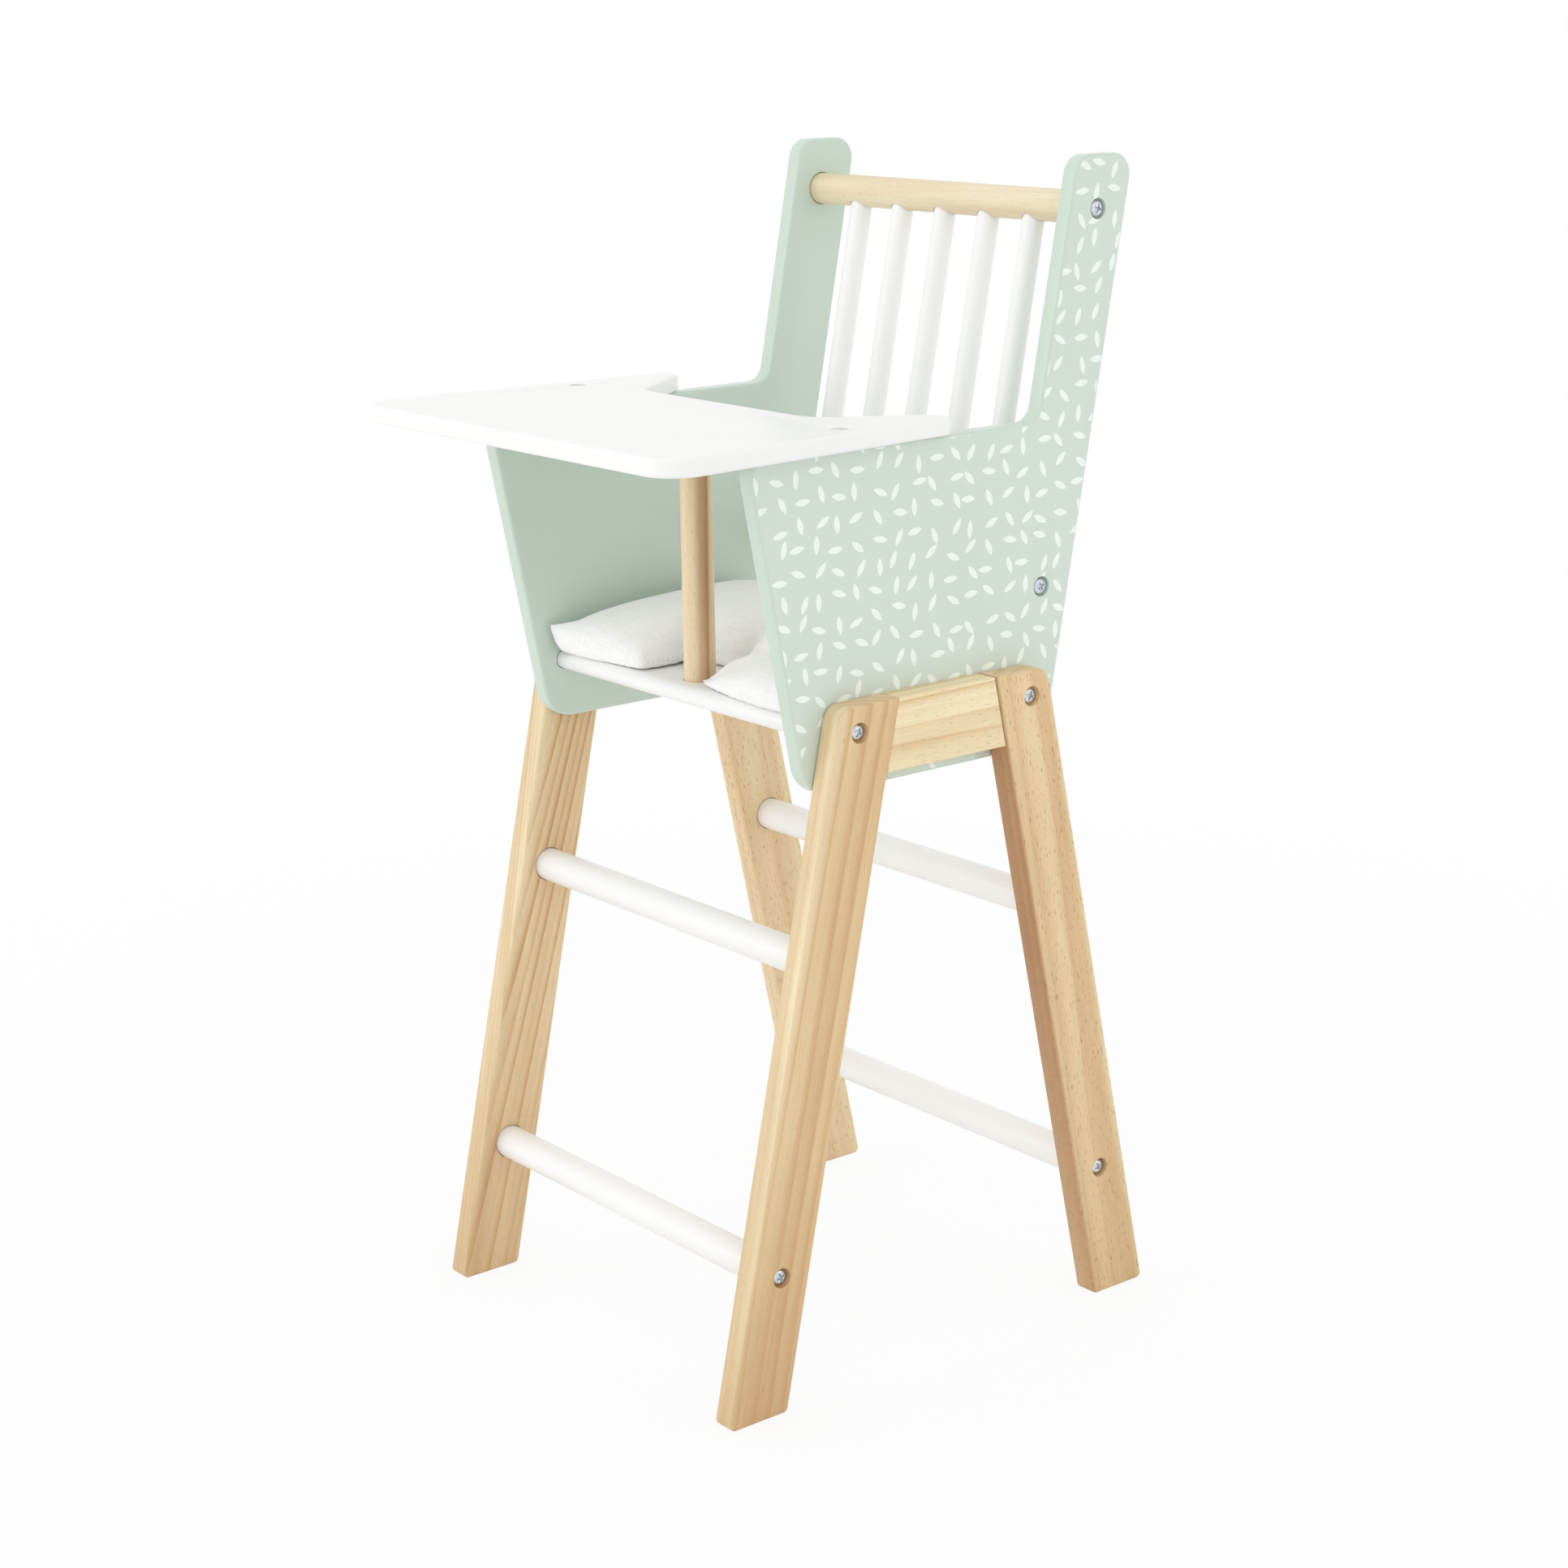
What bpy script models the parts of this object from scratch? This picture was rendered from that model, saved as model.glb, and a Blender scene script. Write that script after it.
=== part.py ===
# A doll's high chair in painted board, pine and dowel: a splayed stand, two side panels,
# a slatted back, a seat board, a fixed tray on a post, and a loose cushion.
# The chair faces -Y and +Z is up. Left is -X and right is +X, as seen by someone in front of it.
# Pieces are made about the stand's middle plane, and one empty then centres the whole footprint.

import math

import bmesh
import bpy
from mathutils import Matrix, Vector

mm = 0.001
deg = math.pi / 180

# Stand
overall_height = 550 * mm
stand_height = 322.2 * mm
foot_spread = 113.5 * mm
leg_top_spread = 45 * mm
leg_width = 32 * mm
leg_thickness = 12.6 * mm
leg_shoulder_radius = 8 * mm
leg_corner_radius = 2 * mm
leg_edge_radius = 1.8 * mm
stand_rail_height = 33 * mm
stand_rail_inset = 0.6 * mm
stand_rail_edge_radius = 0.3 * mm
lower_rung_height = 66.4 * mm
upper_rung_height = 205.5 * mm
rung_radius = 8 * mm
rung_socket_depth = 5 * mm
rung_end_chamfer = 0.8 * mm

# Dowel pins inside the stand's corner joints
pin_radius = 3 * mm
pin_length = 20 * mm
pin_spacing = 16 * mm
pin_chamfer = 0.6 * mm
pin_end_room = 0.6 * mm

# Side panels
panel_thickness = 8.6 * mm
panel_inner_x = 93.4 * mm
panel_bottom_height = 281.2 * mm
panel_bottom_reach = 71.8 * mm
panel_lean = 11.1 * deg
arm_height = 432.6 * mm
upright_width = 35.3 * mm
panel_bottom_radius = 16 * mm
arm_front_radius = 8 * mm
arm_inner_radius = 9 * mm
upright_top_radius = 10 * mm
panel_edge_radius = 1.2 * mm

# Seat board
seat_mid_height = 309.9 * mm
seat_thickness = 9 * mm
seat_reach = 67.3 * mm
seat_socket_depth = 3 * mm

# Slatted back
back_rail_radius = 7.6 * mm
back_rail_socket_depth = 3 * mm
back_rail_top_share = 0.897
back_rail_lower_share = 0.179
back_rail_chamfer = 0.6 * mm
spindle_radius = 5.2 * mm
spindle_pitch = 30.6 * mm
spindle_count = 5
spindle_socket_floor = 2.4 * mm
spindle_chamfer = 0.5 * mm

# Tray and its post
tray_thickness = 8.2 * mm
tray_front_reach = 156.2 * mm
tray_front_half_width = 120.5 * mm
tray_rear_reach = 11.4 * mm
tray_side_overhang = 3.6 * mm
tray_arm_tip_width = 10.5 * mm
notch_half_width = 62.6 * mm
notch_setback = 34.8 * mm
tray_front_radius = 17 * mm
tray_tip_radius = 4.6 * mm
notch_radius = 20 * mm
tray_edge_radius = 1.4 * mm
tray_screw_setback = 47 * mm
post_radius = 7.5 * mm
post_seat_socket = 5 * mm
post_tray_socket = 4 * mm
post_chamfer = 0.6 * mm

# Screws: pan heads with a cross recess, in counterbores
screw_shank_radius = 1.9 * mm
screw_head_radius = 3.9 * mm
screw_head_height = 2.2 * mm
screw_head_edge = 0.9 * mm
screw_crown_share = 0.55
screw_tip_length = 4 * mm
screw_tip_radius = 0.4 * mm
recess_reach = 2.1 * mm
recess_width = 0.9 * mm
recess_depth = 1.2 * mm
counterbore_radius = 4.7 * mm
leg_counterbore_depth = 3.5 * mm
panel_counterbore_depth = 2.4 * mm
tray_counterbore_radius = 4.2 * mm
tray_counterbore_depth = 4.2 * mm
seat_screw_outset = 3.8 * mm
seat_screw_bite = 20 * mm
rung_screw_bite = 20 * mm
back_screw_bite = 18 * mm
tray_screw_bite = 20 * mm
pilot_spare = 1.5 * mm

# Loose cushion with a notch for the post
cushion_side_gap = 1.4 * mm
cushion_front_reach = 67 * mm
cushion_rear_reach = 56 * mm
cushion_height = 20 * mm
cushion_roll = 17 * mm
cushion_under_roll = 9 * mm
cushion_draw_in = 2.5 * mm
cushion_cell = 8 * mm
cushion_seam_share = 0.42
cushion_rim_crown_share = 0.82
notch_left_room = 20.5 * mm
notch_right_room = 3.5 * mm
notch_rear_room = 6.5 * mm

# Clearances, overrun of the cutters, and how finely curves are cut
wood_gap = 0.3 * mm
screw_gap = 0.3 * mm
overrun = 2 * mm
dowel_sides = 20
hole_sides = 12
spindle_sides = 16
arc_step = 15 * deg
edge_segments = 2
smooth_angle = 35 * deg

# Places that follow from the sizes above
panel_outer_x = panel_inner_x + panel_thickness
leg_inner_x = panel_outer_x + wood_gap
leg_outer_x = leg_inner_x + leg_thickness
leg_middle_x = leg_inner_x + leg_thickness / 2
leg_slope = (foot_spread - leg_top_spread) / stand_height
leg_half_span = leg_width / 2 * math.hypot(1, leg_slope)
panel_slope = math.tan(panel_lean)
seat_top = seat_mid_height + seat_thickness / 2
back_rise = overall_height - seat_top
back_rail_top_height = seat_top + back_rail_top_share * back_rise
back_rail_lower_height = seat_top + back_rail_lower_share * back_rise
tray_bottom = arm_height + wood_gap
tray_top = tray_bottom + tray_thickness
tray_rear_half_width = panel_outer_x + tray_side_overhang
panel_middle_x = panel_inner_x + panel_thickness / 2
footprint_shift = (tray_front_reach - foot_spread - leg_half_span) / 2
clear_radius = screw_shank_radius + screw_gap


def leg_centre(height):
    # Distance of a leg's middle line from the stand's middle plane at this height.
    return foot_spread - leg_slope * height


def panel_edge(height):
    # Distance of a panel's sloping edge from the stand's middle plane at this height.
    return panel_bottom_reach + panel_slope * (height - panel_bottom_height)


def upright_centre(height):
    return panel_edge(height) - upright_width / 2


seat_screw_y = leg_centre(seat_mid_height) + seat_screw_outset
post_y = -seat_screw_y
sides = {"left": -1, "right": 1}
ends = {"front": -1, "rear": 1}


def clear_scene():
    for item in list(bpy.data.objects):
        bpy.data.objects.remove(item, do_unlink=True)


def linear(value):
    # One sRGB channel, 0 to 1, as linear light.
    return value / 12.92 if value <= 0.04045 else ((value + 0.055) / 1.055) ** 2.4


def make_finish(name, colour, roughness, metallic=0.0):
    material = bpy.data.materials.new(name)
    material.use_nodes = True
    shader = material.node_tree.nodes["Principled BSDF"]
    channels = [int(colour[i : i + 2], 16) / 255 for i in (0, 2, 4)]
    shader.inputs["Base Color"].default_value = (*[linear(c) for c in channels], 1.0)
    shader.inputs["Roughness"].default_value = roughness
    shader.inputs["Metallic"].default_value = metallic
    return material


def add_object(name, bm, place=(0, 0, 0), turn=(0, 0, 0)):
    bmesh.ops.recalc_face_normals(bm, faces=bm.faces)
    mesh = bpy.data.meshes.new(name)
    bm.to_mesh(mesh)
    bm.free()
    item = bpy.data.objects.new(name, mesh)
    bpy.context.collection.objects.link(item)
    item.parent = chair
    item.location = place
    item.rotation_euler = turn
    return item


def add_piece(name, bm, material, place=(0, 0, 0), turn=(0, 0, 0)):
    piece = add_object(name, bm, place, turn)
    piece.data.materials.append(material)
    piece.data.shade_smooth()
    piece.data.set_sharp_from_angle(angle=smooth_angle)
    return piece


def soften(piece, radius):
    bevel = piece.modifiers.new("rounded edges", "BEVEL")
    bevel.width = radius
    bevel.segments = edge_segments
    bevel.limit_method = "ANGLE"
    bevel.angle_limit = smooth_angle


def cut(piece, cutter):
    # The cutter shares the piece's place and turn, so both are drawn in the same local sizes.
    cutter.hide_render = True
    cutter.display_type = "WIRE"
    hole = piece.modifiers.new(cutter.name, "BOOLEAN")
    hole.operation = "DIFFERENCE"
    hole.solver = "EXACT"
    hole.object = cutter


def rounded(corners):
    # Corners are (u, v, radius). One with a radius becomes an arc tangent to both its sides.
    outline = []
    for i, (u, v, radius) in enumerate(corners):
        here = Vector((u, v))
        before = Vector(corners[i - 1][:2]) - here
        after = Vector(corners[(i + 1) % len(corners)][:2]) - here
        if radius == 0:
            outline.append(here)
            continue
        half = before.angle(after) / 2
        radius = min(radius, min(before.length, after.length) / 2 * math.tan(half))
        middle = (before.normalized() + after.normalized()).normalized()
        centre = here + middle * (radius / math.sin(half))
        spoke = here + before.normalized() * (radius / math.tan(half)) - centre
        sweep = math.pi - 2 * half
        if before.cross(after) > 0:
            sweep = -sweep
        steps = max(2, math.ceil(abs(sweep) / arc_step))
        for k in range(steps + 1):
            outline.append(centre + Matrix.Rotation(sweep * k / steps, 2) @ spoke)
    return outline


def add_prism(bm, outline, low, high, axis):
    # A closed prism along one axis. The outline gives the other two coordinates, in x, y, z order.
    rings = []
    for level in (low, high):
        ring = []
        for u, v in outline:
            point = [u, v]
            point.insert(axis, level)
            ring.append(bm.verts.new(point))
        rings.append(ring)
    bm.faces.new(rings[0])
    bm.faces.new(rings[1])
    for i in range(len(outline)):
        bm.faces.new((rings[0][i - 1], rings[0][i], rings[1][i], rings[1][i - 1]))


def add_turned(bm, start, direction, profile, sides):
    # A closed turned solid. The profile lists (distance along the axis, radius) from end to end.
    along = Vector(direction).normalized()
    across = along.orthogonal().normalized()
    upward = along.cross(across)
    rings = []
    for distance, radius in profile:
        ring = []
        for k in range(sides):
            angle = 2 * math.pi * (k + 0.5) / sides
            spoke = across * math.cos(angle) + upward * math.sin(angle)
            ring.append(bm.verts.new(Vector(start) + along * distance + spoke * radius))
        rings.append(ring)
    bm.faces.new(rings[0][::-1])
    bm.faces.new(rings[-1])
    for low, high in zip(rings, rings[1:]):
        for k in range(sides):
            bm.faces.new((low[k - 1], low[k], high[k], high[k - 1]))


def dowel_profile(length, radius, chamfer, pilot_depth=0):
    # A plain dowel with chamfered ends, and a blind pilot hole in each end where it is screwed.
    body = [(0, radius - chamfer), (chamfer, radius)]
    body += [(length - chamfer, radius), (length, radius - chamfer)]
    if pilot_depth == 0:
        return body
    start = [(pilot_depth, clear_radius), (0, clear_radius)]
    end = [(length, clear_radius), (length - pilot_depth, clear_radius)]
    return start + body + end


def add_dowel(name, material, place, half_length, radius, chamfer, pilot_depth=0):
    bm = bmesh.new()
    profile = dowel_profile(2 * half_length, radius, chamfer, pilot_depth)
    add_turned(bm, (-half_length, 0, 0), (1, 0, 0), profile, dowel_sides)
    return add_piece(name, bm, material, place)


def stepped_hole(depth, wide_depth, wide_radius):
    # A counterbore that opens into a screw's clearance hole, measured from the outer face.
    return [
        (-overrun, wide_radius),
        (wide_depth, wide_radius),
        (wide_depth, clear_radius),
        (depth, clear_radius),
    ]


def socketed_hole(depth, wide_depth, wide_radius, socket_depth, socket_radius):
    # As above, and the far face carries the socket that the screwed dowel sits in.
    inner = depth - socket_depth
    return [
        (-overrun, wide_radius),
        (wide_depth, wide_radius),
        (wide_depth, clear_radius),
        (inner, clear_radius),
        (inner, socket_radius),
        (depth + overrun, socket_radius),
    ]


def recess_outline():
    arm = recess_width / 2
    quarter = [(recess_reach, -arm), (recess_reach, arm), (arm, arm)]
    outline = []
    for k in range(4):
        outline += [Matrix.Rotation(k * math.pi / 2, 2) @ Vector(point) for point in quarter]
    return outline


def add_screw(name, seat, direction, length):
    # The screw lies along its own +Z, with the head's underside at the object's origin.
    profile = [
        (-screw_head_height, screw_head_radius * screw_crown_share),
        (-screw_head_edge, screw_head_radius),
        (0, screw_head_radius),
        (0, screw_shank_radius),
        (length - screw_tip_length, screw_shank_radius),
        (length, screw_tip_radius),
    ]
    turn = Vector(direction).to_track_quat("Z", "Y").to_euler()
    bm = bmesh.new()
    add_turned(bm, (0, 0, 0), (0, 0, 1), profile, hole_sides)
    screw = add_piece(name, bm, zinc, seat, turn)
    cross = bmesh.new()
    low = -screw_head_height - overrun
    add_prism(cross, recess_outline(), low, recess_depth - screw_head_height, 2)
    cut(screw, add_object(name + " recess", cross, seat, turn))
    return screw


def make_panel(name, side):
    # The board's outer face is away from the middle, so a mirrored side swaps its two faces.
    rear_top = panel_edge(overall_height)
    front_arm = -panel_edge(arm_height)
    upright_front = panel_edge(arm_height) - upright_width
    outline = rounded(
        [
            (-panel_bottom_reach, panel_bottom_height, panel_bottom_radius),
            (panel_bottom_reach, panel_bottom_height, panel_bottom_radius),
            (rear_top, overall_height, upright_top_radius),
            (rear_top - upright_width, overall_height, upright_top_radius),
            (upright_front, arm_height, arm_inner_radius),
            (front_arm, arm_height, arm_front_radius),
        ]
    )
    bm = bmesh.new()
    low, high = sorted((side * panel_inner_x, side * panel_outer_x))
    add_prism(bm, outline, low, high, 0)
    panel = add_piece(name, bm, mint_paint)
    soften(panel, panel_edge_radius)

    pocket = bmesh.new()
    pocket_outline = seat_outline(wood_gap)
    ends = (side * (panel_inner_x - overrun), side * (panel_inner_x + seat_socket_depth))
    add_prism(pocket, pocket_outline, min(ends), max(ends), 0)
    cut(panel, add_object(name + " seat pocket", pocket))

    holes = bmesh.new()
    inward = (-side, 0, 0)
    for height in (back_rail_top_height, back_rail_lower_height):
        profile = socketed_hole(
            panel_thickness,
            panel_counterbore_depth,
            counterbore_radius,
            back_rail_socket_depth,
            back_rail_radius + wood_gap,
        )
        start = (side * panel_outer_x, upright_centre(height), height)
        add_turned(holes, start, inward, profile, dowel_sides)
    through = [(-overrun, clear_radius), (panel_thickness + overrun, clear_radius)]
    for y in (-seat_screw_y, seat_screw_y):
        start = (side * panel_outer_x, y, seat_mid_height)
        add_turned(holes, start, inward, through, hole_sides)
    pilot = [(-overrun, clear_radius), (tray_screw_bite + pilot_spare, clear_radius)]
    start = (side * panel_middle_x, -tray_screw_setback, arm_height)
    add_turned(holes, start, (0, 0, -1), pilot, hole_sides)
    cut(panel, add_object(name + " holes", holes))
    return panel


def pin_heights():
    middle = stand_height - stand_rail_height / 2
    return (middle - pin_spacing / 2, middle + pin_spacing / 2)


def pin_hole(half_depth):
    room = half_depth + pin_end_room
    return [(-room, pin_radius + wood_gap), (room, pin_radius + wood_gap)]


def joint_line(height):
    # Distance from the middle plane to the face where a stand rail meets its leg.
    return leg_centre(height) - leg_half_span


def make_leg(name, side, end):
    # End is -1 for a front leg and 1 for a rear one.
    foot = end * foot_spread
    top = end * leg_top_spread
    outline = rounded(
        [
            (foot - end * leg_half_span, 0, leg_corner_radius),
            (foot + end * leg_half_span, 0, leg_corner_radius),
            (top + end * leg_half_span, stand_height, leg_shoulder_radius),
            (top - end * leg_half_span, stand_height, 0),
        ]
    )
    bm = bmesh.new()
    low, high = sorted((side * leg_inner_x, side * leg_outer_x))
    add_prism(bm, outline, low, high, 0)
    leg = add_piece(name, bm, pine)
    soften(leg, leg_edge_radius)

    holes = bmesh.new()
    inward = (-side, 0, 0)
    lower = (side * leg_outer_x, end * leg_centre(lower_rung_height), lower_rung_height)
    profile = socketed_hole(
        leg_thickness,
        leg_counterbore_depth,
        counterbore_radius,
        rung_socket_depth,
        rung_radius + wood_gap,
    )
    add_turned(holes, lower, inward, profile, dowel_sides)
    upper = (side * leg_inner_x, end * leg_centre(upper_rung_height), upper_rung_height)
    socket = [(-rung_socket_depth, rung_radius + wood_gap), (overrun, rung_radius + wood_gap)]
    add_turned(holes, upper, inward, socket, dowel_sides)
    seat_hole = stepped_hole(leg_thickness + overrun, leg_counterbore_depth, counterbore_radius)
    start = (side * leg_outer_x, end * seat_screw_y, seat_mid_height)
    add_turned(holes, start, inward, seat_hole, hole_sides)
    for height in pin_heights():
        start = (side * leg_middle_x, end * joint_line(height), height)
        add_turned(holes, start, (0, end, 0), pin_hole(pin_length / 2), hole_sides)
    cut(leg, add_object(name + " holes", holes))
    return leg


def make_stand_rail(name, side):
    bottom = stand_height - stand_rail_height
    wide = joint_line(bottom) - wood_gap
    narrow = joint_line(stand_height) - wood_gap
    outline = [(-wide, bottom), (wide, bottom), (narrow, stand_height), (-narrow, stand_height)]
    bm = bmesh.new()
    low, high = sorted((side * leg_inner_x, side * (leg_outer_x - stand_rail_inset)))
    add_prism(bm, outline, low, high, 0)
    rail = add_piece(name, bm, pine)
    soften(rail, stand_rail_edge_radius)

    holes = bmesh.new()
    for height in pin_heights():
        for end in (-1, 1):
            start = (side * leg_middle_x, end * joint_line(height), height)
            add_turned(holes, start, (0, end, 0), pin_hole(pin_length / 2), hole_sides)
    cut(rail, add_object(name + " holes", holes))
    return rail


def make_stand_pins(side_name, side):
    profile = dowel_profile(pin_length, pin_radius, pin_chamfer)
    for end_name, end in ends.items():
        for i, height in enumerate(pin_heights()):
            bm = bmesh.new()
            add_turned(bm, (0, -pin_length / 2, 0), (0, 1, 0), profile, hole_sides)
            place = (side * leg_middle_x, end * joint_line(height), height)
            add_piece(f"stand_pin_{end_name}_{side_name}_{i + 1}", bm, dowel_wood, place)


def seat_outline(extra):
    # A board with round nosed front and rear edges, grown all round by extra.
    half = seat_thickness / 2 + extra
    reach = seat_reach + extra
    low = seat_mid_height - half
    high = seat_mid_height + half
    nose = half
    corners = [(-reach, low, nose), (reach, low, nose), (reach, high, nose), (-reach, high, nose)]
    outline = []
    for point in rounded(corners):
        if not outline or (point - outline[-1]).length > wood_gap / 2:
            outline.append(point)
    if (outline[0] - outline[-1]).length < wood_gap / 2:
        outline.pop()
    return outline


def make_seat_board():
    half_length = panel_inner_x + seat_socket_depth - wood_gap
    bm = bmesh.new()
    add_prism(bm, seat_outline(0), -half_length, half_length, 0)
    seat = add_piece("seat_board", bm, white_lacquer)

    holes = bmesh.new()
    pilot_depth = seat_socket_depth + seat_screw_bite + pilot_spare
    pilot = [(-overrun, clear_radius), (pilot_depth, clear_radius)]
    for side in (-1, 1):
        for y in (-seat_screw_y, seat_screw_y):
            start = (side * half_length, y, seat_mid_height)
            add_turned(holes, start, (-side, 0, 0), pilot, hole_sides)
    socket_radius = post_radius + wood_gap
    socket = [(-overrun, socket_radius), (post_seat_socket, socket_radius)]
    add_turned(holes, (0, post_y, seat_top), (0, 0, -1), socket, dowel_sides)
    cut(seat, add_object("seat_board holes", holes))
    return seat


def spindle_places():
    middle = (spindle_count - 1) / 2
    return [(i - middle) * spindle_pitch for i in range(spindle_count)]


def make_back_rail(name, height, facing):
    # Facing is -1 where the spindles enter from below and 1 where they enter from above.
    half_length = panel_inner_x + back_rail_socket_depth - wood_gap
    place = (0, upright_centre(height), height)
    pilot_depth = back_rail_socket_depth + back_screw_bite + pilot_spare
    rail = add_dowel(
        name, dowel_wood, place, half_length, back_rail_radius, back_rail_chamfer, pilot_depth
    )
    holes = bmesh.new()
    direction = (0, facing * math.sin(panel_lean), facing * math.cos(panel_lean))
    hole_radius = spindle_radius + wood_gap
    hole = [(spindle_socket_floor, hole_radius), (back_rail_radius + overrun, hole_radius)]
    for x in spindle_places():
        add_turned(holes, (x, 0, 0), direction, hole, spindle_sides)
    cut(rail, add_object(name + " sockets", holes, place))
    return rail


def make_spindles():
    top = Vector((0, upright_centre(back_rail_top_height), back_rail_top_height))
    low = Vector((0, upright_centre(back_rail_lower_height), back_rail_lower_height))
    length = (top - low).length - 2 * (spindle_socket_floor + wood_gap)
    profile = dowel_profile(length, spindle_radius, spindle_chamfer)
    for i, x in enumerate(spindle_places()):
        bm = bmesh.new()
        add_turned(bm, (0, 0, -length / 2), (0, 0, 1), profile, spindle_sides)
        place = (top + low) / 2 + Vector((x, 0, 0))
        add_piece(f"back_spindle_{i + 1}", bm, white_lacquer, place, (-panel_lean, 0, 0))


def make_tray():
    tip = tray_rear_half_width - tray_arm_tip_width
    right = [
        (notch_half_width, -notch_setback, notch_radius),
        (tip, tray_rear_reach, tray_tip_radius),
        (tray_rear_half_width, tray_rear_reach, tray_tip_radius),
        (tray_front_half_width, -tray_front_reach, tray_front_radius),
    ]
    left = [(-x, y, radius) for x, y, radius in reversed(right)]
    bm = bmesh.new()
    add_prism(bm, rounded(right + left), tray_bottom, tray_top, 2)
    tray = add_piece("tray", bm, white_lacquer)
    soften(tray, tray_edge_radius)

    holes = bmesh.new()
    profile = stepped_hole(tray_thickness + overrun, tray_counterbore_depth, tray_counterbore_radius)
    for side in (-1, 1):
        start = (side * panel_middle_x, -tray_screw_setback, tray_top)
        add_turned(holes, start, (0, 0, -1), profile, hole_sides)
    socket_radius = post_radius + wood_gap
    socket = [(-overrun, socket_radius), (post_tray_socket, socket_radius)]
    add_turned(holes, (0, post_y, tray_bottom), (0, 0, 1), socket, dowel_sides)
    cut(tray, add_object("tray holes", holes))
    return tray


def make_tray_post():
    foot = seat_top - post_seat_socket + wood_gap
    head = tray_bottom + post_tray_socket - wood_gap
    bm = bmesh.new()
    profile = dowel_profile(head - foot, post_radius, post_chamfer)
    add_turned(bm, (0, 0, 0), (0, 0, 1), profile, dowel_sides)
    return add_piece("tray_post", bm, dowel_wood, (0, post_y, foot))


def spread(start, end):
    # Evenly spaced places from start to end, about one cushion cell apart.
    cells = max(2, round((end - start) / cushion_cell))
    return [start + (end - start) * i / cells for i in range(cells + 1)]


def make_cushion():
    # Upper and lower faces share their rim. Each is a quarter ellipse near the rim, and the top
    # also swells towards the middle, while the sides are drawn in between the corners.
    half_width = panel_inner_x - cushion_side_gap
    left = -post_radius - notch_left_room
    right = post_radius + notch_right_room
    notch_rear = post_y + post_radius + notch_rear_room
    columns = spread(-half_width, left)
    first = len(columns) - 1
    columns += spread(left, right)[1:]
    last = len(columns) - 1
    columns += spread(right, half_width)[1:]
    rows = spread(-cushion_front_reach, notch_rear)
    rear = len(rows) - 1
    rows += spread(notch_rear, cushion_rear_reach)[1:]
    middle_y = (cushion_rear_reach - cushion_front_reach) / 2
    half_depth = (cushion_rear_reach + cushion_front_reach) / 2

    def rim_distance(x, y):
        beside = max(left - x, 0, x - right)
        to_notch = math.hypot(beside, max(y - notch_rear, 0))
        to_side = half_width - abs(x)
        return min(to_side, y + cushion_front_reach, cushion_rear_reach - y, to_notch)

    def rise(distance, roll):
        share = min(distance / roll, 1)
        return math.sqrt(max(0, 1 - (1 - share) ** 2))

    bm = bmesh.new()
    seam = cushion_height * cushion_seam_share
    upper = {}
    lower = {}
    for i, x in enumerate(columns):
        for j, y in enumerate(rows):
            if first < i < last and j < rear:
                continue
            distance = rim_distance(x, y)
            u = x / half_width
            v = (y - middle_y) / half_depth
            plan_x = x - cushion_draw_in * u * (1 - v * v)
            plan_y = y - cushion_draw_in * v * (1 - u * u)
            swell = (1 - u * u) * (1 - v * v)
            full = cushion_height * (cushion_rim_crown_share + (1 - cushion_rim_crown_share) * swell)
            height = seam + (full - seam) * rise(distance, cushion_roll)
            depth = seam * (1 - rise(distance, cushion_under_roll))
            upper[i, j] = bm.verts.new((plan_x, plan_y, height))
            on_rim = distance < wood_gap
            lower[i, j] = upper[i, j] if on_rim else bm.verts.new((plan_x, plan_y, depth))
    for i in range(len(columns) - 1):
        for j in range(len(rows) - 1):
            if first <= i < last and j < rear:
                continue
            corners = [(i, j), (i + 1, j), (i + 1, j + 1), (i, j + 1)]
            bm.faces.new([upper[c] for c in corners])
            bm.faces.new([lower[c] for c in reversed(corners)])
    return add_piece("seat_cushion", bm, cotton, (0, 0, seat_top + wood_gap))


clear_scene()
chair = bpy.data.objects.new("chair", None)
bpy.context.collection.objects.link(chair)
chair.location = (0, footprint_shift, 0)

mint_paint = make_finish("mint_paint", "C3D6C5", 0.5)
pine = make_finish("pine", "E2C696", 0.5)
dowel_wood = make_finish("dowel_wood", "E6D2A6", 0.45)
white_lacquer = make_finish("white_lacquer", "F4F4F2", 0.35)
zinc = make_finish("zinc", "C4C6C8", 0.3, 1.0)
cotton = make_finish("cotton", "F5F4F2", 0.9)

for side_name, side in sides.items():
    make_panel(f"side_panel_{side_name}", side)
    make_stand_rail(f"stand_rail_{side_name}", side)
    make_stand_pins(side_name, side)
    for end_name, end in ends.items():
        make_leg(f"{end_name}_leg_{side_name}", side, end)

rung_half_length = leg_inner_x + rung_socket_depth - wood_gap
for end_name, end in ends.items():
    for level, height in (("upper", upper_rung_height), ("lower", lower_rung_height)):
        place = (0, end * leg_centre(height), height)
        pilot_depth = rung_screw_bite + pilot_spare if level == "lower" else 0
        add_dowel(
            f"{end_name}_rung_{level}",
            white_lacquer,
            place,
            rung_half_length,
            rung_radius,
            rung_end_chamfer,
            pilot_depth,
        )

make_seat_board()
make_back_rail("back_rail_top", back_rail_top_height, -1)
make_back_rail("back_rail_lower", back_rail_lower_height, 1)
make_spindles()
make_tray()
make_tray_post()
make_cushion()

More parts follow.
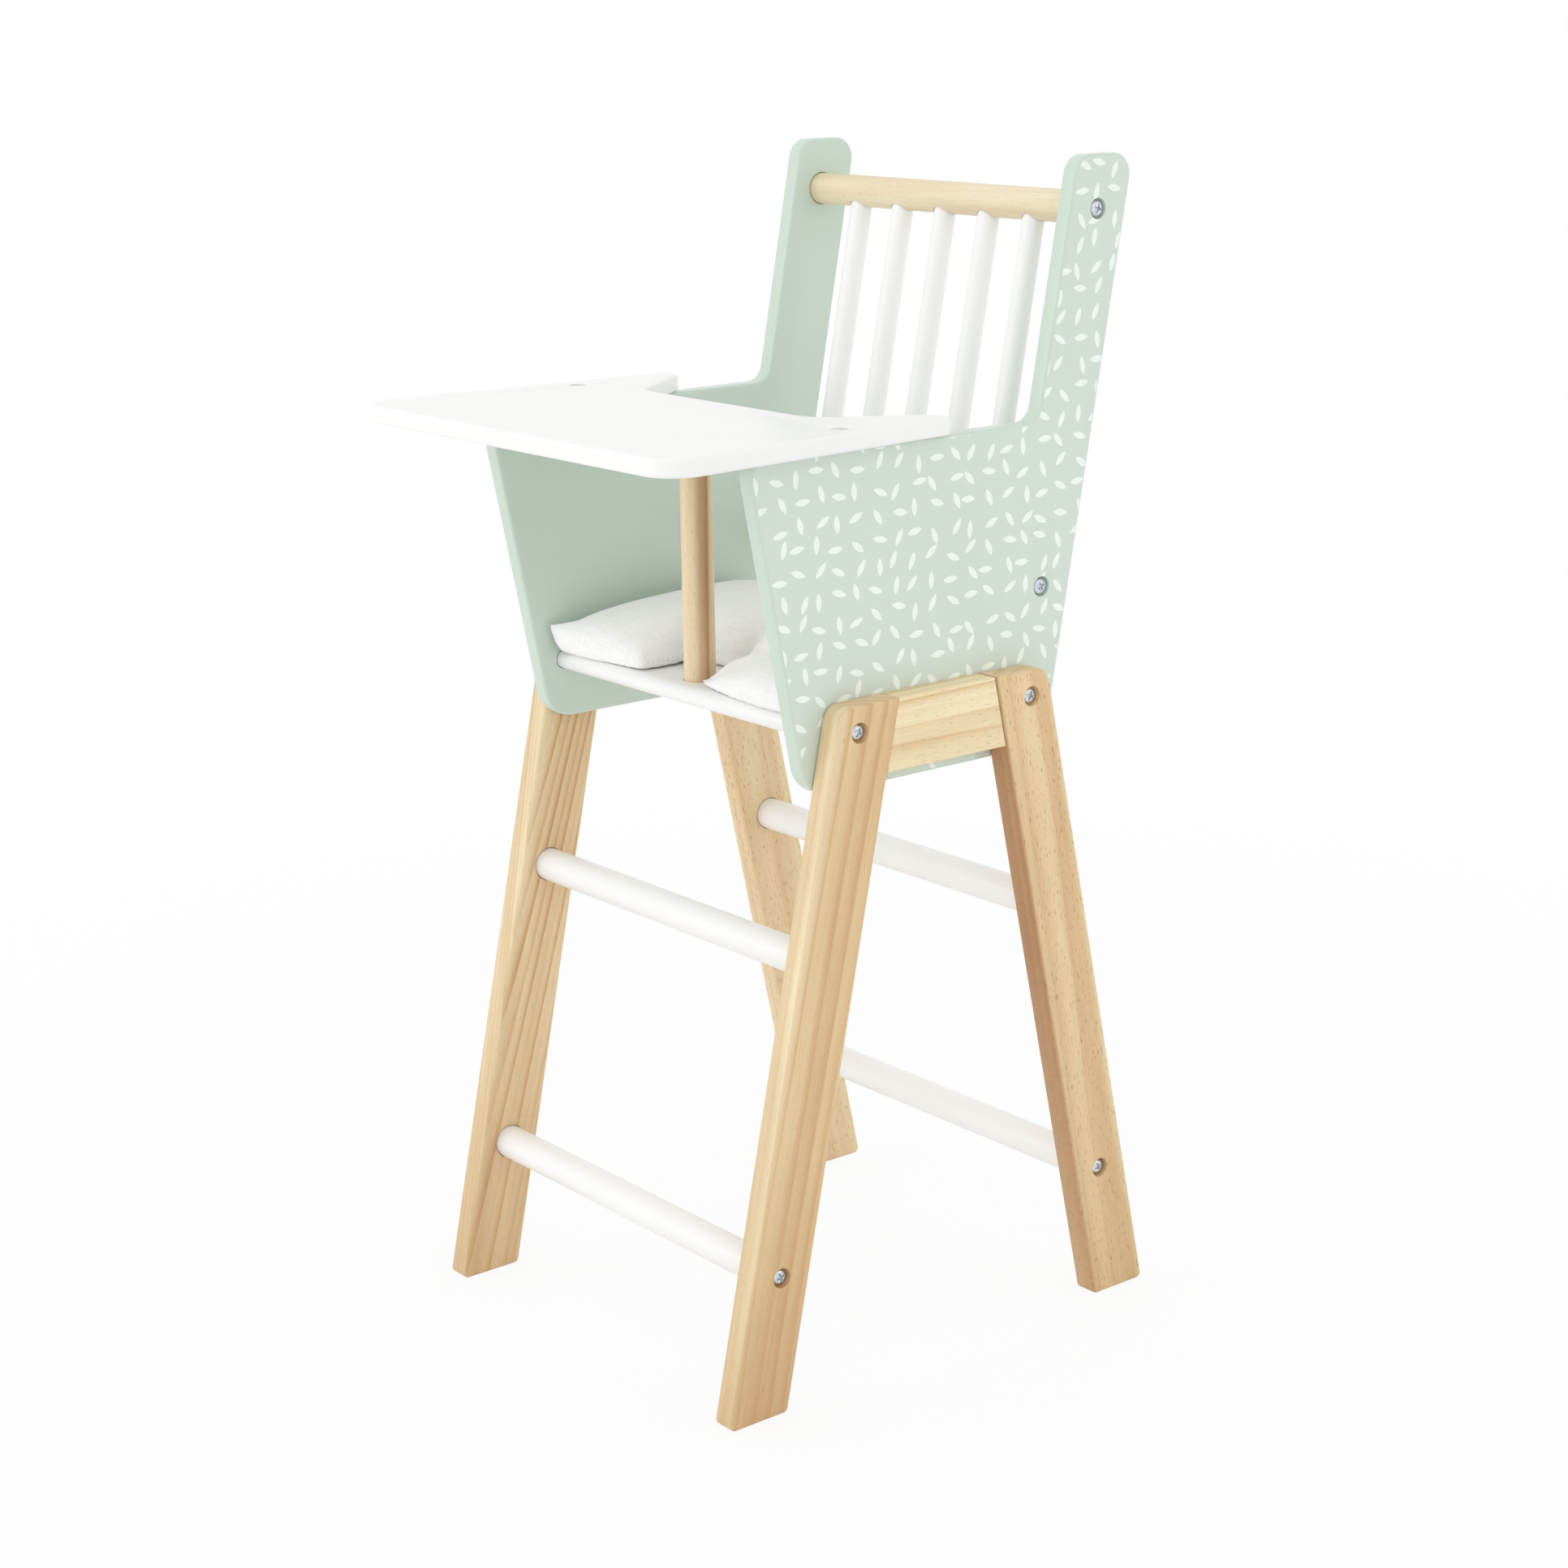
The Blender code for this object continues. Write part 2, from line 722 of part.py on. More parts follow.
# Screws, each seated on the floor of its counterbore
leg_seat_x = leg_outer_x - leg_counterbore_depth
panel_seat_x = panel_outer_x - panel_counterbore_depth
tray_seat_z = tray_top - tray_counterbore_depth
seat_screw_length = leg_seat_x - panel_inner_x + seat_screw_bite
rung_screw_length = leg_seat_x - rung_half_length + rung_screw_bite
back_screw_length = panel_seat_x - panel_inner_x + back_screw_bite
tray_screw_length = tray_seat_z - arm_height + tray_screw_bite
for side_name, side in sides.items():
    inward = (-side, 0, 0)
    for end_name, end in ends.items():
        corner = f"{end_name}_{side_name}"
        place = (side * leg_seat_x, end * seat_screw_y, seat_mid_height)
        add_screw(f"seat_screw_{corner}", place, inward, seat_screw_length)
        rung_y = end * leg_centre(lower_rung_height)
        place = (side * leg_seat_x, rung_y, lower_rung_height)
        add_screw(f"rung_screw_{corner}", place, inward, rung_screw_length)
    for level, height in (("top", back_rail_top_height), ("lower", back_rail_lower_height)):
        place = (side * panel_seat_x, upright_centre(height), height)
        add_screw(f"back_rail_screw_{level}_{side_name}", place, inward, back_screw_length)
    place = (side * panel_middle_x, -tray_screw_setback, tray_seat_z)
    add_screw(f"tray_screw_{side_name}", place, (0, 0, -1), tray_screw_length)
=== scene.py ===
import math
from functools import partial

import bmesh
import bpy
import numpy as np
from mathutils import Matrix, Vector


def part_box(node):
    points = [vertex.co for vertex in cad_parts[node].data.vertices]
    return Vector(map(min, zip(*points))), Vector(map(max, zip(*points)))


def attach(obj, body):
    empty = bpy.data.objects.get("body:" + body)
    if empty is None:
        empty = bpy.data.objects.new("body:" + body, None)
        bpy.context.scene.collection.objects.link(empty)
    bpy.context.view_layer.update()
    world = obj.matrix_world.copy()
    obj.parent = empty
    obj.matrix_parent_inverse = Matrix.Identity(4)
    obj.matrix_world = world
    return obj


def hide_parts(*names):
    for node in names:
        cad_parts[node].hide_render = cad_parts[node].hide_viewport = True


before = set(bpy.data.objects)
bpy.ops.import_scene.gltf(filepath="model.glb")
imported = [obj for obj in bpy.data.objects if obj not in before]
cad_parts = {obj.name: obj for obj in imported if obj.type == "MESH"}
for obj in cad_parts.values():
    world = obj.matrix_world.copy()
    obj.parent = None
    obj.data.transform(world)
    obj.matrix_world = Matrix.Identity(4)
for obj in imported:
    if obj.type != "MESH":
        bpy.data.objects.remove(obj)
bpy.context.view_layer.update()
print("frame loaded")

# Shapes are worked out in millimetres about the stand's middle plane, and makePiece turns them to
# metres. Every object sits at the origin with its place in its mesh.
mm = 0.001
sideSigns = {"left": -1, "right": 1}
endSigns = {"front": -1, "rear": 1}

stand = {
    "height": 322.2,
    "footSpread": 113.5,
    "topSpread": 45,
    "legWidth": 32,
    "innerX": 102.3,
    "outerX": 114.9,
    "shoulderRadius": 8,
    "footRadius": 2.6,
    "innerTopRadius": 0.6,
    "edgeRadius": 1.4,
    "jointEdgeRadius": 0.25,
    "edgeChange": (2, 8),  # how far across and along the leg the radius changes
    "railHeight": 33,
    "railInset": 0.25,
    "railEdge": 0.35,
    "railGap": 0.12,
    "railPith": (38, -6),  # mm outside the leg's face and above the rail's underside
    "rungs": {"upper": 205.5, "lower": 66.4},
    "rungRadius": 8,
    "rungSocket": 5,
    "rungChamfer": 0.8,
}
panel = {
    "innerX": 93.4,
    "outerX": 102.0,
    "bottom": 281.2,
    "bottomReach": 71.8,
    "lean": math.radians(11.1),
    "arm": 432.6,
    "top": 550,
    "uprightWidth": 35.3,
    "bottomRadius": 16,
    "frontRadius": 8,
    "innerRadius": 9,
    "topRadius": 10,
    "edge": 1.3,
}
seat = {"middle": 309.9, "thickness": 9, "reach": 67.3, "socket": 3, "screwOutset": 3.8}
back = {
    "railRadius": 7.6,
    "railChamfer": 0.6,
    "railPith": (20, 9),
    "heights": {"top": 525.7, "lower": 356.6},
    "socket": 3,
    "spindleRadius": 5.2,
    "spindleChamfer": 0.5,
    "pitch": 30.6,
    "count": 5,
    "floor": 2.4,
}
tray = {
    "bottom": 432.9,
    "top": 441.1,
    "frontReach": 156.2,
    "frontHalfWidth": 120.4,
    "rearReach": 11.4,
    "rearHalfWidth": 105.6,
    "tipWidth": 10.5,
    "notchHalfWidth": 62.6,
    "notchSetback": 34.8,
    "frontRadius": 17,
    "tipRadius": 4.6,
    "notchRadius": 20,
    "edge": 1.5,
    "screwSetback": 47,
    "screwRadius": 4.2,
    "postRadius": 7.5,
    "postChamfer": 0.6,
    # The post's pith is placed so that a wide dark late ring falls on the side turned from the key light:
    # partly the dowel's own ring, partly painted shade.
    "postPith": (-21.3, -26.3),
    "seatSocket": 5,
    "traySocket": 4,
}
fit = {"wood": 0.3, "over": 2.0, "through": 1.0, "cloth": 0.2, "post": 0.8}
counterbore = {"radius": 4.7, "leg": 3.5, "panel": 2.4, "tray": 4.2, "rim": 0.3, "shank": 2.2}

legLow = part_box("front_leg_right")[0]
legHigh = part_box("rear_leg_right")[1]
standMiddle = (legLow.y + legHigh.y) / 2 / mm
legSlope = (stand["footSpread"] - stand["topSpread"]) / stand["height"]
legHalf = stand["legWidth"] / 2 * math.hypot(1, legSlope)
panelSlope = math.tan(panel["lean"])


def legCentre(height):
    return stand["footSpread"] - legSlope * height


def panelEdge(height):
    return panel["bottomReach"] + panelSlope * (height - panel["bottom"])


def uprightCentre(height):
    return panelEdge(height) - panel["uprightWidth"] / 2


seatScrewY = legCentre(seat["middle"]) + seat["screwOutset"]
seatTop = seat["middle"] + seat["thickness"] / 2


# Mesh makers


def addObject(name, data):
    item = bpy.data.objects.new(name, data)
    bpy.context.scene.collection.objects.link(item)
    return item


def makePiece(node, points, faces, sharpAngle=32):
    # The piece is named after the node that it stands for.
    words = node.split("_")
    name = words[0] + "".join(word.title() for word in words[1:])
    mesh = bpy.data.meshes.new(name)
    placed = np.asarray(points, float).reshape(-1, 3) + (0, standMiddle, 0)
    mesh.from_pydata((placed * mm).tolist(), [], faces)
    work = bmesh.new()
    work.from_mesh(mesh)
    bmesh.ops.recalc_face_normals(work, faces=work.faces)
    work.to_mesh(mesh)
    work.free()
    mesh.shade_smooth()
    mesh.set_sharp_from_angle(angle=math.radians(sharpAngle))
    return addObject(name, mesh)


def gridQuads(rows, columns, start=0):
    # Each row is a closed ring: point (row, column) is start + row*columns + column.
    row, column = np.meshgrid(np.arange(rows - 1), np.arange(columns), indexing="ij")
    following = (column + 1) % columns
    corners = [row * columns + column, row * columns + following]
    corners += [(row + 1) * columns + following, (row + 1) * columns + column]
    return start + np.stack(corners, -1).reshape(-1, 4)


def tubeFaces(rows, columns, start=0):
    # A grid of closed rings with a face over each end.
    ends = (start, start + (rows - 1) * columns)
    return gridQuads(rows, columns, start).tolist() + [list(range(end, end + columns)) for end in ends]


def roundedOutline(corners, arcStep=7.5, spacing=10):
    # Corners are (u, v, radius). An arc that touches both sides takes each corner, and points
    # every `spacing` fill the straight sides. Gives the points and their outward normals.
    table = np.array(corners, float)
    corner, radii = table[:, :2], table[:, 2]
    following = np.roll(corner, -1, axis=0)
    toNext = following - corner
    turning = np.sign(np.sum(corner[:, 0] * following[:, 1] - following[:, 0] * corner[:, 1]))
    arcs = []
    for i, radius in enumerate(radii):
        arrive = toNext[i - 1] / np.linalg.norm(toNext[i - 1])
        leave = toNext[i] / np.linalg.norm(toNext[i])
        bend = math.atan2(arrive[0] * leave[1] - arrive[1] * leave[0], arrive @ leave)
        reach = radius * math.tan(abs(bend) / 2)
        start = corner[i] - arrive * reach
        steps = max(1, math.ceil(math.degrees(abs(bend)) / arcStep))
        angle = np.linspace(0, bend, steps + 1)
        turn = np.stack([np.cos(angle), -np.sin(angle), np.sin(angle), np.cos(angle)], -1).reshape(-1, 2, 2)
        outward = turning * np.array([arrive[1], -arrive[0]])
        normal = turn @ outward
        signed = radius if turning * bend > 0 else -radius
        arcs.append((start - outward * signed + normal * signed, normal))
    points, normals = [], []
    for (arc, normal), (nextArc, nextNormal) in zip(arcs, arcs[1:] + arcs[:1]):
        gap = nextArc[0] - arc[-1]
        count = int(np.linalg.norm(gap) // spacing)
        points += [arc, arc[-1] + gap * (np.arange(1, count + 1) / (count + 1))[:, None]]
        normals += [normal, np.repeat(nextNormal[:1], count, axis=0)]
    return np.concatenate(points), np.concatenate(normals)


def makeBoard(node, corners, low, high, axis, edge, steps=6, arcStep=7.5):
    # The board's rings follow the outline, drawn in by e*(1 - sin a) and set back from the face by
    # e*(1 - cos a), for a from 0 to 90 degrees, and one more, a tenth of e further in, lies on each
    # flat. `edge` is e, or a function of the outline's points.
    outline, normal = roundedOutline(corners, arcStep)
    e = (edge(outline) if callable(edge) else np.full(len(outline), float(edge)))[None, :, None]
    a = np.radians(np.linspace(0, 90, steps + 1))[:, None, None]
    inset = np.concatenate([e * 1.1, e * (1 - np.sin(a))], 0)
    setback = np.concatenate([e * 0, e * (1 - np.cos(a))], 0)
    inset = np.concatenate([inset, inset[::-1]], 0)
    level = np.concatenate([low + setback, high - setback[::-1]], 0)
    flat = outline[None] - normal[None] * inset
    rings = np.insert(flat, axis, level[..., 0], axis=2)
    return makePiece(node, rings, tubeFaces(*rings.shape[:2]))


def turnedGrid(start, axis, profile, sides, first=0):
    # Points start + t*axis + r*(cos a * across + sin a * upward) for each (t, r) of the profile,
    # numbered from `first`.
    along = Vector(axis).normalized()
    across = along.orthogonal().normalized()
    upward = along.cross(across)
    t, r = np.array(profile, float).T
    a = np.arange(sides) * 2 * math.pi / sides
    spoke = np.cos(a)[:, None] * np.array(across) + np.sin(a)[:, None] * np.array(upward)
    rings = np.array(start) + t[:, None, None] * np.array(along) + r[:, None, None] * spoke
    return rings.reshape(-1, 3), tubeFaces(len(t), sides, first)


def makeDowel(node, start, axis, length, radius, chamfer, sides=96):
    # A small quarter round breaks its ends.
    a = np.radians(np.linspace(90, 0, 5))
    end = list(zip(chamfer * (1 - np.sin(a)), radius - chamfer * (1 - np.cos(a))))
    profile = end + [(length - t, r) for t, r in reversed(end)]
    return makePiece(node, *turnedGrid(start, axis, profile, sides))


def bore(piece, cuts, sides=64):
    # Cuts turned holes. Each cut is (start, axis, profile), and the profile runs past the faces.
    points, faces, count = [], [], 0
    for start, axis, profile in cuts:
        newPoints, newFaces = turnedGrid(start, axis, profile, sides, count)
        points.append(newPoints)
        faces += newFaces
        count += len(newPoints)
    cutter = makePiece(piece.name + "Cutter", np.concatenate(points), faces)
    carve(piece, cutter)


def carve(piece, cutter):
    hole = piece.modifiers.new("hole", "BOOLEAN")
    hole.operation = "DIFFERENCE"
    hole.solver = "EXACT"
    hole.object = cutter
    settle(piece)
    bpy.data.objects.remove(cutter)


def readVectors(collection, key="co"):
    values = np.empty(len(collection) * 3, np.float32)
    collection.foreach_get(key, values)
    return values.reshape(-1, 3).astype(float)


def storeVectors(mesh, name, values):
    attribute = mesh.attributes.new(name, "FLOAT_VECTOR", "POINT")
    attribute.data.foreach_set("vector", values.astype(np.float32).ravel())


def settle(piece, sharpAngle=32):
    # The modifiers' result becomes the piece's own mesh.
    graph = bpy.context.evaluated_depsgraph_get()
    mesh = bpy.data.meshes.new_from_object(piece.evaluated_get(graph))
    piece.modifiers.clear()
    old = piece.data
    piece.data = mesh
    bpy.data.meshes.remove(old)
    mesh.shade_smooth()
    mesh.set_sharp_from_angle(angle=math.radians(sharpAngle))


def easedHole(thickness, wideDepth, wideRadius=counterbore["radius"]):
    # A counterbore with a rounded mouth, then a clearance hole for the screw's shank.
    a, rim = np.radians(np.linspace(0, 90, 5)), counterbore["rim"]
    mouth = [(-fit["over"], wideRadius + rim)]
    mouth += list(zip(rim * (1 - np.cos(a)), wideRadius + rim * (1 - np.sin(a))))
    through = [(depth, counterbore["shank"]) for depth in (wideDepth, thickness + fit["through"])]
    return mouth + [(wideDepth, wideRadius)] + through


def socketHole(depth, dowelRadius, rim=0.15):
    # A blind socket with a lightly broken rim.
    radius = dowelRadius + fit["wood"]
    return [(-fit["over"], radius + rim), (0, radius + rim), (rim, radius), (depth, radius)]


# Materials


def toLinear(hexColour):
    channel = np.array([int(hexColour[i : i + 2], 16) / 255 for i in (0, 2, 4)])
    low = channel / 12.92
    high = ((channel + 0.055) / 1.055) ** 2.4
    return (*np.where(channel <= 0.04045, low, high).tolist(), 1.0)


def addNode(tree, kind, *inputs, stops=None, easing="LINEAR", **settings):
    # Inputs fill the node's sockets in order, and a dictionary names its own: another node's output
    # is linked, and a hex colour turned to linear. Stops are a ramp's places with their colours or
    # greys, and settings are the node's own properties. Gives the node's outputs.
    node = tree.nodes.new("ShaderNode" + kind)
    for key, value in settings.items():
        setattr(node, key, value)
    for place, given in enumerate(inputs):
        for key, value in (given if isinstance(given, dict) else {place: given}).items():
            if isinstance(value, bpy.types.NodeSocket):
                tree.links.new(value, node.inputs[key])
            else:
                node.inputs[key].default_value = toLinear(value) if isinstance(value, str) else value
    if stops:
        elements = node.color_ramp.elements
        node.color_ramp.interpolation = easing
        while len(elements) < len(stops):
            elements.new(0.5)
        for element, (place, colour) in zip(elements, stops):
            element.position = place
            element.color = toLinear(colour) if isinstance(colour, str) else (colour, colour, colour, 1)
    return node.outputs


def newMaterial(name, **values):
    # Gives the material and addNode bound to its tree. Values are the shader's own inputs.
    material = bpy.data.materials.new(name)
    material.use_nodes = True
    for key, value in values.items():
        material.node_tree.nodes["Principled BSDF"].inputs[key].default_value = value
    return material, partial(addNode, material.node_tree)


def finishSurface(material, colour, height, depth):
    # The colour, and a relief `depth` millimetres deep, go to the shader.
    tree = material.node_tree
    relief = addNode(tree, "Bump", {"Height": height, "Distance": depth * mm, "Strength": 1.0})
    shader = tree.nodes["Principled BSDF"]
    tree.links.new(colour, shader.inputs["Base Color"])
    tree.links.new(relief["Normal"], shader.inputs["Normal"])
    return material


def placeInMm(add):
    return add("VectorMath", add("TexCoord")["Object"], {"Scale": 1 / mm}, operation="SCALE")[0]


def mottle(add, place, scale, detail=2.0, roughness=0.5):
    # Random patches, with `scale` of them to the millimetre along each axis.
    scaled = add("VectorMath", place, scale, operation="MULTIPLY")[0]
    return add("TexNoise", {"Vector": scaled, "Scale": 1.0, "Detail": detail, "Roughness": roughness})["Fac"]


def shaded(add, colour, source, *stops):
    # The colour times a ramp over the source.
    shade = add("ValToRGB", source, stops=stops)[0]
    return add("Mix", 1.0, {6: colour, 7: shade}, data_type="RGBA", blend_type="MULTIPLY")[2]


wood = {
    "sap": "F8E7BE",
    "heart": "F1D6A8",
    "late": "CFA068",
    "fleck": "85582F",
    # painted shade for the narrow face far from the pith, which lies in shade on a rear leg
    "core": "C0A391",
    # painted shade that darkens a board towards its foot; white for none
    "butt": "FFFFFF",
    "heartFrom": 12.4,  # mm from the pith's plane
    "heartTo": 17.0,
    # mm from the pith's plane where the painted far-edge shade starts and where it is full
    "coreFrom": 42.3,
    "coreTo": 44.3,
    # mm up from the board's foot over which the painted foot shade fades out
    "buttLength": 200.0,
    "ringPitch": 6.5,
    "waver": 12.0,
    "lateShare": 0.6,  # how dark the late lines are
    "fibreShare": 0.1,
    "fleckShare": 0.2,
}


def makeWood(name, **changes):
    # Lacquered wood. The grain attribute is each point's place in the tree in millimetres: x and z lie
    # across the trunk from its pith, and y along it. Rings are the distance from the pith, and each
    # darkens slowly to a sharper line. Along z, sapwood turns to heartwood, and further out a painted
    # shade darkens the narrow face far from the pith, less so near the board's foot. A second painted
    # shade darkens the board towards its foot, and short resin ducts show as flecks.
    look = wood | changes
    material, add = newMaterial(name, Roughness=0.42)
    grain = add("Attribute", attribute_name="grain")["Vector"]
    parts = add("SeparateXYZ", grain)
    flat = add("CombineXYZ", {"X": parts["X"], "Z": parts["Z"]})[0]
    radius = add("VectorMath", flat, operation="LENGTH")["Value"]
    waver = mottle(add, grain, (1 / 60, 1 / 420, 1 / 60), 1)
    wavered = add("Math", waver, look["waver"], radius, operation="MULTIPLY_ADD")[0]
    ring = add("Math", wavered, look["ringPitch"], operation="DIVIDE")[0]
    phase = add("Math", ring, operation="FRACT")[0]
    number = add("Math", ring, operation="FLOOR")[0]
    chance = add("TexWhiteNoise", {"W": number}, noise_dimensions="1D")["Value"]
    profile = [(0.0, 0.2), (0.12, 0.0), (0.45, 0.12), (0.8, 0.6), (0.92, 0.85), (1.0, 0.2)]
    line = add("ValToRGB", phase, stops=profile, easing="EASE")[0]
    share = look["lateShare"]
    depth = add("MapRange", {"Value": chance, "To Min": 0.15 * share, "To Max": share})[0]
    dark = add("Math", line, depth, operation="MULTIPLY")[0]
    across = add("Math", parts["Z"], operation="ABSOLUTE")[0]
    inputs = {"Value": across, "From Min": look["heartFrom"], "From Max": look["heartTo"]}
    inward = add("MapRange", inputs)[0]
    colour = add("Mix", inward, {6: look["sap"], 7: look["heart"]}, data_type="RGBA")[2]
    # share of the way up from the board's foot, for the painted foot shade
    upBoard = add("MapRange", {"Value": parts["Y"], "From Max": look["buttLength"]})[0]
    # The narrow face far from the pith, which faces forward on a rear leg, gets a painted shade, weaker near
    # the board's foot.
    most = add("MapRange", {"Value": upBoard, "To Min": 0.3})[0]
    inputs = {"Value": across, "From Min": look["coreFrom"], "From Max": look["coreTo"], "To Max": most}
    core = add("MapRange", inputs)[0]
    colour = shaded(add, colour, core, (0.0, "FFFFFF"), (1.0, look["core"]))
    # painted shade towards the board's foot
    colour = shaded(add, colour, upBoard, (0.0, look["butt"]), (1.0, "FFFFFF"))
    faint = add("MapRange", {"Value": inward, "To Min": 0.4})[0]
    dark = add("Math", dark, faint, operation="MULTIPLY")[0]
    colour = add("Mix", dark, {6: colour, 7: look["late"]}, data_type="RGBA")[2]
    broad = mottle(add, grain, (1 / 12, 1 / 190, 1 / 12))
    colour = shaded(add, colour, broad, (0.3, "F0E6DC"), (0.65, "FFFFFF"))
    fibres = mottle(add, grain, (2.6, 0.03, 2.6), 3, 0.7)
    colour = shaded(add, colour, fibres, (0.3, 1 - look["fibreShare"]), (0.62, 1.0))
    ducts = mottle(add, grain, (3.0, 0.24, 3.0), 0)
    flecks = add("ValToRGB", ducts, stops=[(0.715, 0.0), (0.775, look["fleckShare"])])[0]
    colour = add("Mix", flecks, {6: colour, 7: look["fleck"]}, data_type="RGBA")[2]
    return finishSurface(material, colour, fibres, 0.05)


def makePaint(name, colour, roughness, skin):
    # Sprayed and rolled paint on wood: even colour, with a fine skin that breaks the highlight.
    material, add = newMaterial(name, Roughness=roughness)
    place = placeInMm(add)
    cloud = mottle(add, place, (1 / 45,) * 3, 1)
    tone = shaded(add, colour, cloud, (0.3, 0.985), (0.7, 1.0))
    return finishSurface(material, tone, mottle(add, place, (1 / skin,) * 3), 0.03)


leafPrint = {
    "pitch": 11.0,  # mm from mark to mark
    "halfLength": 4.3,
    "halfWidth": 1.55,
    "softEdge": 0.06,
    "jitter": 0.44,  # share of the pitch
    "turns": (math.radians(100), 0.35),  # their range and their start
    "colour": "F2FCF5",
    "ground": "D5E2D7",
}


def leafMask(add, place):
    # Scattered pointed ovals. Each square cell of the plane has one mark, shifted and turned by chance,
    # with a quarter turn more in every second cell. A pointed oval is where two circles overlap:
    # |along| and |across| + R - w give a length under R. The four cells nearest to a point are tried,
    # so no mark is cut at a cell's side.
    w, pitch, jitter = leafPrint["halfWidth"], leafPrint["pitch"], leafPrint["jitter"]
    circle = (leafPrint["halfLength"] ** 2 + w**2) / (2 * w)
    plane = add("VectorMath", place, (0, 1 / pitch, 1 / pitch), operation="MULTIPLY")[0]
    parts = add("SeparateXYZ", plane)
    plane = add("CombineXYZ", {"X": parts["Y"], "Y": parts["Z"]})[0]
    middleShare = (1 - jitter) / 2
    nearest = 2 * circle
    for i, j in ((-0.5, -0.5), (-0.5, 0.5), (0.5, -0.5), (0.5, 0.5)):
        cell = add("VectorMath", plane, (i, j, 0), operation="ADD")[0]
        cell = add("VectorMath", cell, operation="FLOOR")[0]
        chance = add("TexWhiteNoise", {"Vector": cell}, noise_dimensions="3D")["Color"]
        middle = add("VectorMath", chance, (jitter, jitter, 0), cell, operation="MULTIPLY_ADD")[0]
        middle = add("VectorMath", middle, (middleShare, middleShare, 0), operation="ADD")[0]
        away = add("VectorMath", plane, middle, operation="SUBTRACT")[0]
        away = add("VectorMath", away, (pitch, pitch, 0), operation="MULTIPLY")[0]
        index = add("SeparateXYZ", cell)
        both = add("Math", index["X"], index["Y"], operation="ADD")[0]
        parity = add("Math", both, 2.0, operation="FLOORED_MODULO")[0]
        draw = add("SeparateXYZ", chance)["Z"]
        angle = add("Math", draw, *leafPrint["turns"], operation="MULTIPLY_ADD")[0]
        angle = add("Math", parity, math.pi / 2, angle, operation="MULTIPLY_ADD")[0]
        local = add("VectorRotate", {"Vector": away, "Angle": angle}, rotation_type="Z_AXIS")[0]
        local = add("VectorMath", local, operation="ABSOLUTE")[0]
        local = add("VectorMath", local, (0, circle - w, 0), operation="ADD")[0]
        reach = add("VectorMath", local, operation="LENGTH")["Value"]
        nearest = add("Math", nearest, reach, operation="MINIMUM")[0]
    soft = leafPrint["softEdge"]
    return add("MapRange", {"Value": nearest, "From Min": circle + soft, "From Max": circle - soft})[0]


def makeMintPaint(name, colour, roughness):
    # Painted fibreboard. The flat outer faces carry a pale print, cut off where the edge rounds over.
    material, add = newMaterial(name, Roughness=roughness)
    place = placeInMm(add)
    sideways = add("SeparateXYZ", place)["X"]
    distance = add("Math", sideways, operation="ABSOLUTE")[0]
    outer = add("Math", distance, panel["outerX"] - 0.02, operation="GREATER_THAN")[0]
    ground = {6: leafPrint["ground"], 7: leafPrint["colour"]}
    printed = add("Mix", leafMask(add, place), ground, data_type="RGBA")[2]
    base = add("Mix", outer, {6: colour, 7: printed}, data_type="RGBA")[2]
    cloud = mottle(add, place, (1 / 60,) * 3, 1)
    base = shaded(add, base, cloud, (0.3, 0.98), (0.7, 1.0))
    return finishSurface(material, base, mottle(add, place, (1 / 0.9,) * 3), 0.02)


def makeZinc(name):
    # Bright zinc plate on steel: a cool, slightly uneven metal.
    material, add = newMaterial(name, Roughness=0.24, Metallic=1.0)
    place = placeInMm(add)
    patches = mottle(add, place, (1 / 1.4,) * 3, 3)
    uneven = add("ValToRGB", patches, stops=[(0.3, "BCC2C8"), (0.7, "E4E7EA")])[0]
    return finishSurface(material, uneven, mottle(add, place, (1 / 0.35,) * 3), 0.02)


weave = {
    "threadPitch": 0.8,  # mm; real calico has about 0.45, too fine to show here
    "colour": "FBFBFA",
    "slub": "F3F3F1",
    "slubHeight": 1.6,
    "depth": 0.016,
}


def makeCotton(name):
    # Plain woven cotton: matt, with a soft sheen at grazing angles. Threads that cross give a height
    # of sin(kx)*sin(ky), and their thick places run a few millimetres each way.
    material, add = newMaterial(name, **{"Roughness": 0.9, "Sheen Weight": 0.35, "Sheen Roughness": 0.5})
    cloth = add("Attribute", attribute_name="cloth")["Vector"]
    turn = math.pi / weave["threadPitch"]
    angles = add("VectorMath", cloth, (turn, turn, 0), operation="MULTIPLY")[0]
    angles = add("SeparateXYZ", angles)
    warp = add("Math", angles["X"], operation="SINE")[0]
    weft = add("Math", angles["Y"], operation="SINE")[0]
    crossing = add("Math", warp, weft, operation="MULTIPLY")[0]
    slubX, slubY = (mottle(add, cloth, scale, 1) for scale in ((0.09, 1.3, 1), (1.3, 0.09, 1)))
    slubs = add("Math", slubX, slubY, operation="MULTIPLY")[0]
    share = add("ValToRGB", slubs, stops=[(0.2, 0.0), (0.4, 1.0)])[0]
    colour = add("Mix", share, {6: weave["colour"], 7: weave["slub"]}, data_type="RGBA")[2]
    height = add("Math", slubs, weave["slubHeight"], crossing, operation="MULTIPLY_ADD")[0]
    return finishSurface(material, colour, height, weave["depth"])


def makePlainWood(name, pale, dark):
    # Turned hardwood pins, seen only as end fibres inside the joints: fine lines along the pin.
    material, add = newMaterial(name, Roughness=0.6)
    fibres = mottle(add, placeInMm(add), (1.8, 0.08, 1.8), 3, 0.6)
    colour = add("ValToRGB", fibres, stops=[(0.3, dark), (0.7, pale)])[0]
    return finishSurface(material, colour, fibres, 0.05)
